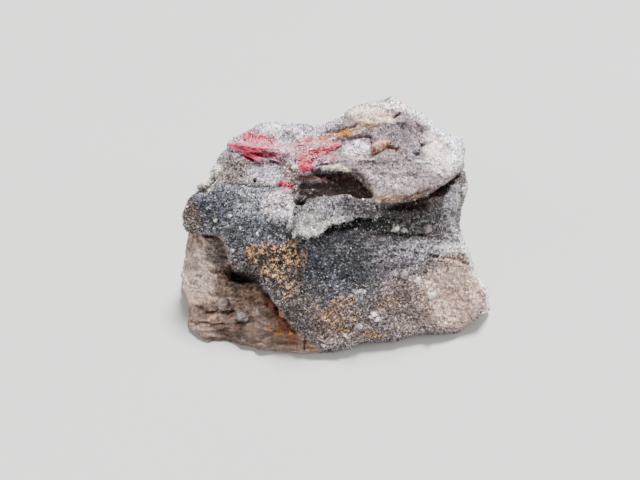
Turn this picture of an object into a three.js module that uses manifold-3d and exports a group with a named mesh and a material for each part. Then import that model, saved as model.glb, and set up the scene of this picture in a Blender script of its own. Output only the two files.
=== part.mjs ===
// A small piece of vein quartz, 44 mm wide, with pink erythrite on its show face.
// Millimetres, +Z up. The stone rests on its broken base at z = 0, and its show face looks towards -Y and up.
import * as THREE from "three";
import { mergeVertices } from "three/addons/utils/BufferGeometryUtils.js";
import { ImprovedNoise } from "three/addons/math/ImprovedNoise.js";
import { TessellateModifier } from "three/addons/modifiers/TessellateModifier.js";
import Module from "manifold-3d";

const wasm = await Module();
wasm.setup();

// ---- Driving dimensions ----
const FACE_RISE = THREE.MathUtils.degToRad(45.6); // how far the show face's normal rises above the horizontal
const FACE_CENTRE = new THREE.Vector3(-2.1, -0.6, 8.3); // the middle of the show face's plane
const SPLAY = 97; // the sides of every bed widen away from a point this far out from the face
const STONE_BACK = -26; // how far behind the face plane the beds are drawn before the back is broken off
const TO_ORIGIN = [0.26, -1.35, 0]; // from the working frame to the middle of the stone's box on its base
const SEAT_GAP = 0.3; // between the quartz and each erythrite piece on it
const ROUGH_WAVE = 4.6; // spacing of the larger swells of a broken surface
const ROUGH_HEIGHT = 0.38;
const GRIT_WAVE = 1.7; // spacing of the small lumps
const GRIT_HEIGHT = 0.26;
const CHIP_SIZE = 2.7; // size of the flat chips that break away from a broken surface
const CHIP_HEIGHT = 0.24;

// ---- The show face's own frame: u to the right, v up the face, w straight out of it ----
const FACE_U = new THREE.Vector3(1, 0, 0);
const FACE_V = new THREE.Vector3(0, Math.sin(FACE_RISE), Math.cos(FACE_RISE));
const FACE_W = new THREE.Vector3(0, -Math.cos(FACE_RISE), Math.sin(FACE_RISE));

function onFace(u, v, w) {
  const spread = 1 - w / SPLAY;
  return FACE_CENTRE.clone()
    .addScaledVector(FACE_U, u * spread)
    .addScaledVector(FACE_V, v * spread)
    .addScaledVector(FACE_W, w);
}

// ---- Helpers between three.js geometry and manifold-3d ----
function toSolid(geometry) {
  const bare = new THREE.BufferGeometry();
  bare.setAttribute("position", geometry.getAttribute("position").clone());
  if (geometry.index) bare.setIndex(geometry.index.clone());
  const merged = mergeVertices(bare, 1e-4);
  const corners = merged.index.array;
  const kept = [];
  for (let i = 0; i < corners.length; i += 3) {
    const [a, b, c] = [corners[i], corners[i + 1], corners[i + 2]];
    if (a !== b && b !== c && c !== a) kept.push(a, b, c);
  }
  return new wasm.Manifold(
    new wasm.Mesh({
      numProp: 3,
      vertProperties: new Float32Array(merged.attributes.position.array),
      triVerts: new Uint32Array(kept),
    }),
  );
}

function toGeometry(solid) {
  const mesh = solid.getMesh();
  const geometry = new THREE.BufferGeometry();
  geometry.setAttribute("position", new THREE.BufferAttribute(new Float32Array(mesh.vertProperties), 3));
  geometry.setIndex(new THREE.BufferAttribute(new Uint32Array(mesh.triVerts), 1));
  geometry.computeVertexNormals();
  return geometry;
}

function largestBody(solid) {
  return solid.decompose().reduce((a, b) => (b.volume() > a.volume() ? b : a));
}

function joined(solids) {
  return solids.reduce((a, b) => a.add(b));
}

// A repeatable stream of numbers from 0 to 1.
function stream(seed) {
  let state = seed;
  return () => {
    state = (state * 1664525 + 1013904223) % 4294967296;
    return state / 4294967296;
  };
}

// ---- Broken rock surface ----
const noise = new ImprovedNoise();

function swell(p, wave, shift) {
  return noise.noise(p.x / wave + shift, p.y / wave + shift * 1.7, p.z / wave - shift);
}

// A number from 0 to 1 that belongs to one cell of a lattice.
function cellNumber(i, j, k, which) {
  const mixed = Math.sin(i * 127.1 + j * 311.7 + k * 74.7 + which * 53.3) * 43758.5453;
  return mixed - Math.floor(mixed);
}

// The shift of the chip that a point falls in: every chip of the broken surface moves as one.
function chipShift(p) {
  const [x, y, z] = [p.x / CHIP_SIZE, p.y / CHIP_SIZE, p.z / CHIP_SIZE];
  let nearest = Infinity;
  const shift = new THREE.Vector3();
  for (let i = Math.floor(x) - 1; i <= Math.floor(x) + 1; i++) {
    for (let j = Math.floor(y) - 1; j <= Math.floor(y) + 1; j++) {
      for (let k = Math.floor(z) - 1; k <= Math.floor(z) + 1; k++) {
        const seed = [0, 1, 2].map((n) => cellNumber(i, j, k, n));
        const away = (i + seed[0] - x) ** 2 + (j + seed[1] - y) ** 2 + (k + seed[2] - z) ** 2;
        if (away < nearest) {
          nearest = away;
          shift.set(...[3, 4, 5].map((n) => (2 * cellNumber(i, j, k, n) - 1) * CHIP_HEIGHT));
        }
      }
    }
  }
  return shift;
}

// Moves a point by the rock's own roughness, which depends only on where the point is.
function roughen(p, share = 1) {
  const moved = p.clone().addScaledVector(chipShift(p), share);
  ["x", "y", "z"].forEach((axis, i) => {
    const large = swell(p, ROUGH_WAVE, 3.1 + 7 * i) * ROUGH_HEIGHT;
    const small = swell(p, GRIT_WAVE, 11.3 + 5 * i) * GRIT_HEIGHT;
    moved[axis] += 2 * share * (large + small);
  });
  return moved;
}

// How far an outline reaches from a centre at the given angle.
function reach(outline, [cu, cv], angle) {
  const [du, dv] = [Math.cos(angle), Math.sin(angle)];
  let far = 0;
  outline.forEach(([au, av], i) => {
    const [bu, bv] = outline[(i + 1) % outline.length];
    const [eu, ev] = [bu - au, bv - av];
    const det = eu * dv - ev * du;
    if (Math.abs(det) < 1e-9) return;
    const along = (eu * (av - cv) - ev * (au - cu)) / det;
    const share = (du * (av - cv) - dv * (au - cu)) / det;
    if (share >= -1e-6 && share <= 1 + 1e-6 && along > far) far = along;
  });
  return far;
}

// The share of a bed's facets that its front gets, as an angle from the front's middle in degrees.
const FRONT_SPAN = 98;
const SIDE_SPAN = 150;

// Crowds an angle measured from a bed's front, so that the buried sides and back take fewer facets.
function crowded(angle) {
  const degrees = THREE.MathUtils.radToDeg(angle);
  if (degrees < FRONT_SPAN) return THREE.MathUtils.degToRad((degrees * 45) / FRONT_SPAN);
  if (degrees < SIDE_SPAN) {
    return THREE.MathUtils.degToRad(45 + ((degrees - FRONT_SPAN) * 90) / (SIDE_SPAN - FRONT_SPAN));
  }
  return THREE.MathUtils.degToRad(135 + ((degrees - SIDE_SPAN) * 45) / (180 - SIDE_SPAN));
}

// One bed or lump: a rounded pillow on an outline, with its own front surface.
// crisp sets how square its rim is, fine how many facets it has, and even spreads them all round.
function bed({ outline, centre, front, back = -7, crisp, fine, rough = 1, even = false }) {
  const geometry = new THREE.IcosahedronGeometry(1, fine);
  const position = geometry.getAttribute("position");
  const d = new THREE.Vector3();
  for (let i = 0; i < position.count; i++) {
    d.fromBufferAttribute(position, i).normalize();
    const tilt = Math.acos(THREE.MathUtils.clamp(d.z, -1, 1));
    const polar = even ? tilt : crowded(tilt);
    const [across, deep] = [Math.sin(polar), Math.cos(polar)];
    const angle = Math.atan2(d.y, d.x);
    const square = (across ** crisp + Math.abs(deep) ** crisp) ** (-1 / crisp);
    const radius = reach(outline, centre, angle) * across * square;
    const u = centre[0] + radius * Math.cos(angle);
    const v = centre[1] + radius * Math.sin(angle);
    const w = back + ((front(u, v) - back) * (1 + deep * square)) / 2;
    const p = roughen(onFace(u, v, w), rough);
    position.setXYZ(i, p.x, p.y, p.z);
  }
  return toSolid(geometry);
}

// A flake: a thin slab on an outline that keeps every corner of its edge.
function flake({ outline, front, back, facet = 1.3, rough = 1 }) {
  const shape = new THREE.Shape(outline.map(([u, v]) => new THREE.Vector2(u, v)));
  const slab = new THREE.ExtrudeGeometry(shape, { depth: 1, bevelEnabled: false, curveSegments: 1 });
  slab.scale(1, 1, 0.01);
  const cut = new TessellateModifier(facet, 9).modify(slab);
  cut.deleteAttribute("normal");
  cut.deleteAttribute("uv");
  const geometry = mergeVertices(cut, 1e-4);
  const position = geometry.getAttribute("position");
  for (let i = 0; i < position.count; i++) {
    const [u, v, share] = [position.getX(i), position.getY(i), position.getZ(i) * 100];
    const w = THREE.MathUtils.lerp(back(u, v), front(u, v), share);
    const p = roughen(onFace(u, v, w), rough);
    position.setXYZ(i, p.x, p.y, p.z);
  }
  return toSolid(geometry);
}

// A block bounded by broken faces, each given by the way it looks and its distance from the centre.
// Azimuth 0 looks along -Y, 90 along +X and 180 along +Y.
function block({ centre, faces, fine, rough = 1 }) {
  const normals = faces.map(([azimuth, elevation, distance]) => {
    const [a, e] = [THREE.MathUtils.degToRad(azimuth), THREE.MathUtils.degToRad(elevation)];
    const normal = new THREE.Vector3(Math.sin(a) * Math.cos(e), -Math.cos(a) * Math.cos(e), Math.sin(e));
    return { normal, distance };
  });
  const geometry = new THREE.IcosahedronGeometry(1, fine);
  const position = geometry.getAttribute("position");
  const d = new THREE.Vector3();
  for (let i = 0; i < position.count; i++) {
    d.fromBufferAttribute(position, i).normalize();
    let radius = Infinity;
    for (const { normal, distance } of normals) {
      const facing = normal.dot(d);
      if (facing > 0.02) radius = Math.min(radius, distance / facing);
    }
    const p = roughen(d.clone().multiplyScalar(radius).add(centre), rough);
    position.setXYZ(i, p.x, p.y, p.z);
  }
  return toSolid(geometry);
}

// A hollow: a stretched ball on the show face, turned in the face's plane.
function hollow([u, v, w], [ru, rv, rw], turn = 0, fine = 1) {
  const geometry = new THREE.IcosahedronGeometry(1, fine);
  const position = geometry.getAttribute("position");
  const angle = THREE.MathUtils.degToRad(turn);
  for (let i = 0; i < position.count; i++) {
    const [x, y, z] = [position.getX(i) * ru, position.getY(i) * rv, position.getZ(i) * rw];
    const du = x * Math.cos(angle) - y * Math.sin(angle);
    const dv = x * Math.sin(angle) + y * Math.cos(angle);
    const p = roughen(onFace(u + du, v + dv, w + z), 0.5);
    position.setXYZ(i, p.x, p.y, p.z);
  }
  return toSolid(geometry);
}

// ---- The stone's beds and lumps ----
// The whole stone's outline, seen square on to the show face.
const STONE = [
  [-18.5, 0], [-18.8, 3.6], [-18.2, 5.2], [-17.0, 6.3], [-16.5, 7.4], [-15.2, 8.5], [-14.8, 9.9], [-14.0, 10.6],
  [-13.9, 12.2], [-13.1, 12.9], [-12.2, 14.3], [-11.2, 14.6], [-9.8, 14.9], [-7.8, 15.8], [-6.6, 16.1],
  [-2.2, 15.8], [-0.8, 15.3], [0.6, 15.6], [3.4, 16.6], [3.8, 17.6], [5.2, 18.5], [9.2, 18.9], [10.0, 19.4],
  [11.6, 19.2], [12.8, 18.3], [15.2, 16.8], [16.2, 15.4], [17.9, 13.8], [19.0, 14.1], [19.6, 13.2], [19.8, 9.8],
  [20.2, 8.4], [19.9, 6.8], [18.9, 4.0], [19.2, 0.6], [20.4, -2.0], [21.9, -5.8], [23.0, -6.9], [23.3, -9.3],
  [22.3, -10.9], [20.8, -11.6], [20.0, -12.7], [18.6, -13.2], [15.4, -13.0], [8.4, -14.0], [3.6, -15.2],
  [-0.8, -15.9], [-3.6, -16.0], [-5.6, -15.2], [-12.0, -14.4], [-16.8, -13.7], [-18.5, -11.9], [-18.4, -7.5],
  [-19.0, -3.6],
];

function heart() {
  return bed({
    outline: STONE,
    centre: [1, 0],
    front: (u, v) => 1.4 - 0.006 * (u - 3) ** 2 - 0.16 * (v - 4),
    back: STONE_BACK,
    crisp: 20,
    fine: 4,
    even: true,
  });
}

// The pale foot of older quartz, under the drusy bed at the lower left.
function foot() {
  return bed({
    outline: [
      [-18.6, 1.2], [-13.2, 1.6], [-9.0, -1.0], [-4.0, -5.0], [0.0, -10.0], [5.0, -13.0], [3.6, -15.0],
      [0.6, -15.2], [-0.8, -16.0], [-3.6, -16.2], [-5.6, -15.4], [-12.0, -14.7], [-16.8, -14.1], [-17.6, -13.0],
      [-18.8, -11.9], [-18.7, -7.5], [-19.3, -3.6], [-18.8, -1.6],
    ],
    centre: [-10, -8],
    front: (u, v) => 2.6 + 0.14 * (u + 12) - 0.2 * (v + 14.4),
    back: -9,
    crisp: 16,
    fine: 4,
    rough: 1.1,
  });
}

// The broad drusy bed that makes the lower right of the show face.
function drusyBed() {
  const shade = (v) => 0.42 * Math.max(0, v - 0.5);
  return bed({
    outline: [
      [-3.0, 4.6], [0.0, 5.6], [6.0, 6.2], [9.0, 5.6], [14.0, 5.4], [18.9, 4.4], [19.0, 1.5], [19.5, 0.0],
      [20.5, -2.0], [21.3, -4.0], [22.1, -5.8], [23.1, -7.0], [23.4, -9.4], [22.5, -10.9], [20.9, -11.6],
      [20.3, -12.6], [18.8, -13.2], [15.4, -13.1], [12.0, -13.6], [8.4, -14.1], [6.0, -14.6], [3.6, -15.3],
      [1.6, -15.0], [0.6, -14.8], [-0.8, -12.5], [-1.8, -9.5], [-2.2, -6.0], [-2.6, -2.0], [-2.6, 1.0],
    ],
    centre: [8, -4.5],
    front: (u, v) => 4.9 - 0.15 * (u - 4) + 0.1 * (v + 5) - shade(v),
    back: -9,
    crisp: 16,
    fine: 6,
    rough: 0.8,
  });
}

// The same bed's flank, which falls away to the left and ends in a sharp ridge over the foot.
function ridge() {
  return flake({
    outline: [
      [-13.4, 1.4], [-13.1, 0.2], [-12.6, -1.5], [-12.3, -3.0], [-12.0, -4.2], [-11.2, -4.7], [-10.4, -4.5],
      [-9.6, -5.2], [-8.8, -5.3], [-7.8, -6.7], [-7.0, -7.2], [-6.4, -8.2], [-5.5, -8.8], [-5.0, -9.8], [-4.2, -10.6],
      [-4.0, -11.6], [-2.8, -12.8], [-2.2, -13.8], [-1.2, -14.1], [0.6, -15.0], [2.0, -13.0], [1.0, -5.0],
      [0.0, 0.0], [-1.6, 2.5], [-6.0, 4.0], [-10.0, 3.0],
    ],
    front: (u, v) => Math.min(5.5, 5.5 + 0.16 * (u + 2.8)) + 0.05 * (v + 5) - 0.3 * Math.max(0, u + 2.5),
    back: () => -3,
    facet: 2.5,
    rough: 0.8,
  });
}

// The grey drusy dome at the left.
function dome() {
  return bed({
    outline: [
      [-18.8, 1.4], [-19.1, 3.6], [-18.5, 5.2], [-17.1, 6.7], [-13.4, 8.0], [-9.0, 8.0], [-5.6, 7.9], [-4.0, 7.0],
      [-2.4, 5.6], [-2.2, 3.8], [-2.4, 0.6], [-4.0, -4.5], [-9.0, -3.5], [-12.4, -1.4], [-13.6, 0.6], [-16.6, 0.9],
    ],
    centre: [-10, 3],
    front: (u, v) => 5.4 - 0.02 * (u + 7.2) ** 2 - 0.03 * (v - 2) ** 2,
    back: -8,
    crisp: 10,
    fine: 5,
    rough: 0.8,
  });
}

// The thin plate in the middle, with a jagged lower edge over the drusy bed.
function plate() {
  return flake({
    outline: [
      [-3.7, 0.2], [-3.0, 0.9], [-2.3, 0.4], [-1.7, 0.1], [-1.1, 0.7], [-0.4, 0.5], [0.3, 0.9], [0.5, 1.6],
      [1.3, 1.9], [1.8, 2.4], [2.6, 2.0], [3.3, 2.5], [4.2, 2.4], [4.7, 3.0], [5.6, 3.2], [6.2, 2.8], [6.9, 3.1],
      [7.7, 2.5], [8.3, 3.8], [8.4, 5.0], [7.2, 5.6], [5.4, 5.7], [3.6, 6.2], [2.0, 6.0], [0.2, 6.0], [-1.2, 5.5],
      [-2.0, 5.3], [-2.6, 4.6], [-3.4, 4.9], [-3.8, 3.8], [-3.9, 2.8], [-3.6, 1.6],
    ],
    front: (u, v) => 7.2 - 0.12 * (v - 2) - 0.04 * u - 0.5 * Math.max(0, v - 4.4),
    back: (u, v) => 4.6 - 1.2 * Math.max(0, v - 3),
    facet: 1.9,
    rough: 0.5,
  });
}

// The rock in the shade between the lump and the plate, and its shoulder at the right.
function underLedge() {
  return bed({
    outline: [
      [-4.5, 8.4], [-1.0, 10.5], [5.0, 10.5], [9.0, 8.0], [17.0, 10.6], [19.6, 11.4], [20.7, 10.4], [20.9, 9.0],
      [20.6, 7.6], [19.8, 6.0], [19.0, 3.8], [19.1, 1.5], [14.0, -1.0], [8.0, -1.0], [-4.0, 2.0],
    ],
    centre: [8, 4],
    front: (u, v) => 3.5 - 0.7 * THREE.MathUtils.smoothstep(u, 5, 9) + 0.2 * Math.max(0, 5 - v),
    back: -9,
    crisp: 12,
    fine: 3,
  });
}

// The massive white lump at the upper right, which overhangs the rock below it.
function lump() {
  return bed({
    outline: [
      [0.2, 9.3], [2.4, 9.4], [4.8, 8.7], [6.0, 7.6], [7.0, 6.6], [7.6, 5.3], [8.2, 4.7], [9.4, 4.5], [11.0, 5.1],
      [12.6, 5.8], [14.2, 6.4], [16.8, 7.2], [18.4, 8.5], [19.9, 9.7], [19.8, 11.2], [19.6, 13.3], [19.0, 14.2],
      [17.9, 13.9], [16.2, 15.5], [15.2, 16.9], [14.3, 17.5], [12.8, 18.5], [11.6, 19.3], [10.0, 19.5], [9.2, 19.0],
      [7.2, 19.0], [5.2, 18.6], [3.8, 17.7], [3.1, 16.4], [0.6, 15.4], [-1.4, 13.0], [-1.6, 10.8],
    ],
    centre: [9.5, 12],
    front: (u, v) => 7.0 - 0.38 * (v - 6) - 0.01 * (u - 11) ** 2 - 0.3 * Math.max(0, 4 - u),
    back: -8,
    crisp: 14,
    fine: 6,
    rough: 0.95,
  });
}

// The shelf at the upper left that carries the erythrite.
function shelf() {
  return bed({
    outline: [
      [-14.0, 12.1], [-13.2, 12.9], [-12.9, 13.7], [-12.2, 14.4], [-11.2, 14.7], [-10.2, 14.4], [-9.2, 15.3],
      [-7.8, 15.9], [-6.6, 16.2], [-4.5, 16.0], [-2.2, 15.9], [-0.8, 15.4], [0.4, 15.7], [2.2, 16.2], [3.4, 16.8],
      [7.0, 14.0], [7.0, 10.5], [4.5, 9.2], [2.4, 9.0], [0.2, 9.1], [-2.7, 8.9], [-3.3, 10.3], [-4.6, 11.3],
      [-7.0, 11.1], [-10.0, 11.4], [-12.6, 11.9],
    ],
    centre: [-2, 13],
    front: (u, v) => 2.8 - 0.42 * (v - 11) + 0.1 * (u + 4) + 0.25 * Math.max(0, u),
    back: -9,
    crisp: 12,
    fine: 5,
    rough: 0.9,
  });
}

// The lower step between the shelf and the dome.
function step() {
  return bed({
    outline: [
      [-14.8, 9.8], [-14.0, 10.6], [-13.9, 12.2], [-10.6, 11.6], [-7.6, 11.4], [-4.4, 11.2], [-2.6, 10.0],
      [-1.6, 8.4], [-4.0, 6.2], [-9.0, 6.0], [-13.4, 6.0], [-17.2, 6.2], [-16.6, 7.2], [-15.4, 8.4],
    ],
    centre: [-9, 8.8],
    front: (u, v) => 3.1 - 0.3 * (v - 9) + 0.04 * (u + 9),
    back: -8,
    crisp: 12,
    fine: 4,
    rough: 0.9,
  });
}

// Shaded hollows that run in under the beds' edges.
function hollows() {
  return [
    hollow([-15.0, 1.5, 0.6], [2.3, 1.1, 2.0]),
    hollow([-10.6, -4.9, 0.9], [2.6, 1.2, 2.0], -14),
    hollow([-4.6, -10.8, 2.2], [3.6, 0.6, 1.2], -50),
    hollow([2.2, 8.8, 3.0], [3.6, 1.0, 1.8], -10),
    hollow([6.4, 7.0, 3.2], [2.0, 0.9, 1.6], -42),
    hollow([-2.4, 5.6, 4.6], [1.2, 0.4, 1.2], 20),
    hollow([11.6, 4.9, 2.6], [3.0, 1.0, 1.4], 12),
    hollow([16.2, 6.6, 1.8], [2.4, 1.0, 1.3], 22),
    hollow([-7.6, 11.4, 1.2], [3.4, 0.8, 1.3]),
  ];
}

// The broken faces that end the stone at its back and sides.
function brokenFaces() {
  return block({
    centre: new THREE.Vector3(0, 2, 9),
    faces: [
      [0, 20, 40], [176, 3, 13.6], [192, -24, 14.2], [182, 46, 17.6], [150, 28, 18.2], [212, 22, 16.6],
      [238, -12, 19.0], [255, 3, 19.3], [300, 10, 34], [132, -8, 17.2], [105, 0, 18.8], [60, 0, 40], [226, 50, 18.0],
      [0, 90, 17], [0, -90, 16],
    ],
    fine: 3,
    rough: 2,
  });
}

// Everything below z = 0, cut away so that the stone rests on a flat base.
function underBase() {
  const side = 90;
  const geometry = new THREE.BoxGeometry(side, side, side);
  geometry.translate(0, 0, -side / 2);
  return toSolid(geometry);
}

// ---- Quartz crystals standing on the drusy beds ----
const VIEWPOINT = FACE_CENTRE.clone().addScaledVector(FACE_W, SPLAY);

// The spot where the rock's surface is met at a place on the show face, and the way it looks there.
function surfaceAt(rock, u, v) {
  const inward = onFace(u, v, 0).sub(VIEWPOINT).normalize();
  const [hit] = new THREE.Raycaster(VIEWPOINT, inward).intersectObject(rock);
  return { point: hit.point, normal: hit.face.normal };
}

// A six-sided prism with a pointed end, its root sunk in the rock.
function quartzCrystal({ point, normal }, radius, lean) {
  const [sunk, prism, tip] = [radius, radius * 0.4, radius * 1.1];
  const profile = [[0, -sunk], [radius, -sunk], [radius, prism], [0, prism + tip]];
  const geometry = new THREE.LatheGeometry(profile.map(([x, y]) => new THREE.Vector2(x, y)), 6);
  const axis = normal.clone().add(lean).normalize();
  geometry.applyQuaternion(new THREE.Quaternion().setFromUnitVectors(new THREE.Vector3(0, 1, 0), axis));
  geometry.translate(point.x, point.y, point.z);
  return toSolid(geometry);
}

// Places on the show face where a crystal stands well clear of the druse, with its radius.
const LARGE_CRYSTALS = [
  [10.3, -4.6, 0.5], [11.7, -4.7, 0.5], [13.5, -5.6, 0.46], [15.4, -7.7, 0.5], [7.5, -10.2, 0.5], [7.9, -11.0, 0.42],
  [5.4, -11.8, 0.5], [15.4, -11.0, 0.45], [5.4, -7.6, 0.7], [10.4, 1.6, 0.5], [11.6, 1.3, 0.42], [15.0, 1.6, 0.5],
  [17.4, 2.4, 0.5], [-12.4, 3.3, 0.4], [-8.6, 0.8, 0.4], [-12.0, -1.4, 0.4], [-3.5, 10.0, 0.42], [-3.8, 14.6, 0.45],
  [-1.4, 14.3, 0.5], [-2.4, 13.6, 0.42], [-11.6, 14.1, 0.42], [-13.2, -8.8, 0.9], [-10.6, -10.4, 0.75],
];

function largeCrystals(rock) {
  const next = stream(11);
  return LARGE_CRYSTALS.map(([u, v, radius]) => {
    const lean = new THREE.Vector3(next() - 0.5, next() - 0.5, next() - 0.5);
    return quartzCrystal(surfaceAt(rock, u, v), radius, lean);
  });
}

function asMesh(solid, color, roughness) {
  const material = new THREE.MeshStandardMaterial({ color, roughness, metalness: 0, flatShading: true });
  return new THREE.Mesh(toGeometry(solid), material);
}

function quartzMatrix() {
  const beds = [
    heart(), foot(), drusyBed(), ridge(), dome(), plate(), underLedge(), lump(), shelf(), step(),
  ];
  const front = joined(beds).intersect(brokenFaces());
  const bare = front.subtract(joined(hollows()));
  const rock = largestBody(bare.subtract(underBase()));
  return largestBody(joined([rock, ...largeCrystals(asMesh(rock, 0xffffff, 1))]));
}

// ---- Erythrite: fans and tufts of flattened needles ----
// One needle: a long eight-faced crystal from root to tip, flattened across the given way out.
function needle(root, tip, width, thickness, out) {
  const geometry = new THREE.OctahedronGeometry(1);
  const along = tip.clone().sub(root);
  const length = along.length();
  const y = along.normalize();
  const x = new THREE.Vector3().crossVectors(y, out).normalize();
  const z = new THREE.Vector3().crossVectors(x, y);
  geometry.scale(width / 2, length / 2, thickness / 2);
  geometry.applyMatrix4(new THREE.Matrix4().makeBasis(x, y, z));
  const middle = root.clone().lerp(tip, 0.5);
  geometry.translate(middle.x, middle.y, middle.z);
  return toSolid(geometry);
}

// The low cushion that a fan's needles grow from, laid along the line between two places.
function cushion(rock, [u0, v0], [u1, v1], halfWidth, height) {
  const a = surfaceAt(rock, u0, v0).point;
  const b = surfaceAt(rock, u1, v1).point;
  const geometry = new THREE.IcosahedronGeometry(1, 1);
  geometry.scale(a.distanceTo(b) / 2, halfWidth, height);
  const x = b.clone().sub(a).normalize();
  const z = FACE_W.clone().addScaledVector(x, -FACE_W.dot(x)).normalize();
  geometry.applyMatrix4(new THREE.Matrix4().makeBasis(x, new THREE.Vector3().crossVectors(z, x), z));
  const middle = a.clone().lerp(b, 0.5).addScaledVector(FACE_W, SEAT_GAP);
  geometry.translate(middle.x, middle.y, middle.z);
  return toSolid(geometry);
}

// A fan of needles that spread from an apex over the rock, between two headings in degrees.
function fan(rock, { apex, headings, reachFar, count, seed, width = 0.42 }) {
  const next = stream(seed);
  const needles = [];
  for (let i = 0; i < count; i++) {
    const heading = THREE.MathUtils.degToRad(THREE.MathUtils.lerp(...headings, (i + next()) / count));
    const start = reachFar * 0.5 * next() ** 1.4;
    const end = Math.min(reachFar, start + reachFar * (0.35 + 0.3 * next()));
    const at = (r) => [apex[0] + r * Math.cos(heading), apex[1] + r * Math.sin(heading)];
    const root = surfaceAt(rock, ...at(start)).point.addScaledVector(FACE_W, 0.35 + 0.15 * next());
    const tip = surfaceAt(rock, ...at(end)).point.addScaledVector(FACE_W, 0.5 + 0.45 * next());
    needles.push(needle(root, tip, width * (0.8 + 0.5 * next()), 0.3 + 0.12 * next(), FACE_W));
  }
  return needles;
}

// A tuft of needles that radiate from one spot like a rosette.
function tuft(rock, { centre, radius, count, seed, lift = 0.35, width = 0.4 }) {
  const next = stream(seed);
  const { point } = surfaceAt(rock, ...centre);
  const root = point.clone().addScaledVector(FACE_W, lift);
  const needles = [];
  for (let i = 0; i < count; i++) {
    const heading = (2 * Math.PI * (i + 0.6 * next())) / count;
    const rise = 0.15 + 0.75 * next();
    const far = radius * (0.75 + 0.35 * next());
    const tip = root
      .clone()
      .addScaledVector(FACE_U, far * Math.cos(heading) * Math.cos(rise))
      .addScaledVector(FACE_V, far * Math.sin(heading) * Math.cos(rise))
      .addScaledVector(FACE_W, far * Math.sin(rise));
    const behind = root.clone().lerp(tip, -0.15);
    needles.push(needle(behind, tip, width, width * 0.8, FACE_W));
  }
  return needles;
}

// Leaves the seating gap between erythrite needles and the rock below them.
function seated(solids, quartz) {
  const shifts = [
    [0, 0, 1], [0.8, 0, 0.6], [-0.8, 0, 0.6], [0, -0.8, 0.6], [0, 0.8, 0.6],
    [1, 0, 0], [-1, 0, 0], [0, -1, 0], [0, 1, 0],
  ];
  let crystals = joined(solids);
  for (const [u, v, w] of shifts) {
    const shift = new THREE.Vector3()
      .addScaledVector(FACE_U, u * SEAT_GAP)
      .addScaledVector(FACE_V, v * SEAT_GAP)
      .addScaledVector(FACE_W, w * SEAT_GAP);
    crystals = crystals.subtract(quartz.translate(shift.toArray()));
  }
  return largestBody(crystals);
}

function leftSpray(rock) {
  return [
    cushion(rock, [-12.2, 13.1], [-6.2, 12.0], 0.9, 0.55),
    ...fan(rock, { apex: [-12.9, 13.3], headings: [-3, -26], reachFar: 8.6, count: 17, seed: 5, width: 0.56 }),
    ...fan(rock, { apex: [-12.0, 14.0], headings: [-30, -52], reachFar: 3.4, count: 4, seed: 6, width: 0.44 }),
    ...tuft(rock, { centre: [-7.4, 12.2], radius: 1.1, count: 5, seed: 8 }),
  ];
}

function rightSpray(rock) {
  return [
    cushion(rock, [2.2, 12.9], [-3.0, 11.4], 1.0, 0.55),
    cushion(rock, [-0.4, 11.6], [-1.9, 9.8], 0.8, 0.6),
    ...fan(rock, { apex: [3.1, 13.4], headings: [182, 214], reachFar: 7.9, count: 17, seed: 15, width: 0.56 }),
    ...tuft(rock, { centre: [-1.7, 10.1], radius: 1.4, count: 9, seed: 16 }),
    ...tuft(rock, { centre: [0.6, 11.3], radius: 1.2, count: 6, seed: 18 }),
  ];
}

function rosette(rock) {
  return [
    cushion(rock, [-4.9, 7.1], [-3.7, 7.1], 0.5, 0.5),
    ...tuft(rock, { centre: [-4.3, 7.1], radius: 1.3, count: 11, seed: 21, width: 0.4 }),
  ];
}

// ---- The pieces ----
const QUARTZ_GREY = 0xa39e9c;
const ERYTHRITE_PINK = 0xc2375a;

const quartz = quartzMatrix();
const rock = asMesh(quartz, QUARTZ_GREY, 0.6);
rock.name = "quartz_matrix";

const stone = new THREE.Group();
stone.name = "erythrite_on_quartz";
stone.add(rock);

const sprays = { erythrite_spray_left: leftSpray, erythrite_spray_right: rightSpray, erythrite_rosette: rosette };
for (const [name, grow] of Object.entries(sprays)) {
  const mesh = asMesh(seated(grow(rock), quartz), ERYTHRITE_PINK, 0.35);
  mesh.name = name;
  stone.add(mesh);
}
for (const mesh of stone.children) mesh.geometry.translate(...TO_ORIGIN);
export default stone;
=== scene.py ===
"""Erythrite on quartz: the dressed specimen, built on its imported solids.

Lengths in this file are millimetres unless a name says otherwise, and become metres where a mesh is made.
"""

import itertools
import math
from collections import namedtuple

import bmesh
import bpy
import numpy as np
from bpy.props import FloatProperty, FloatVectorProperty, IntProperty, PointerProperty
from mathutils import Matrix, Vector
from mathutils.bvhtree import BVHTree


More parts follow.
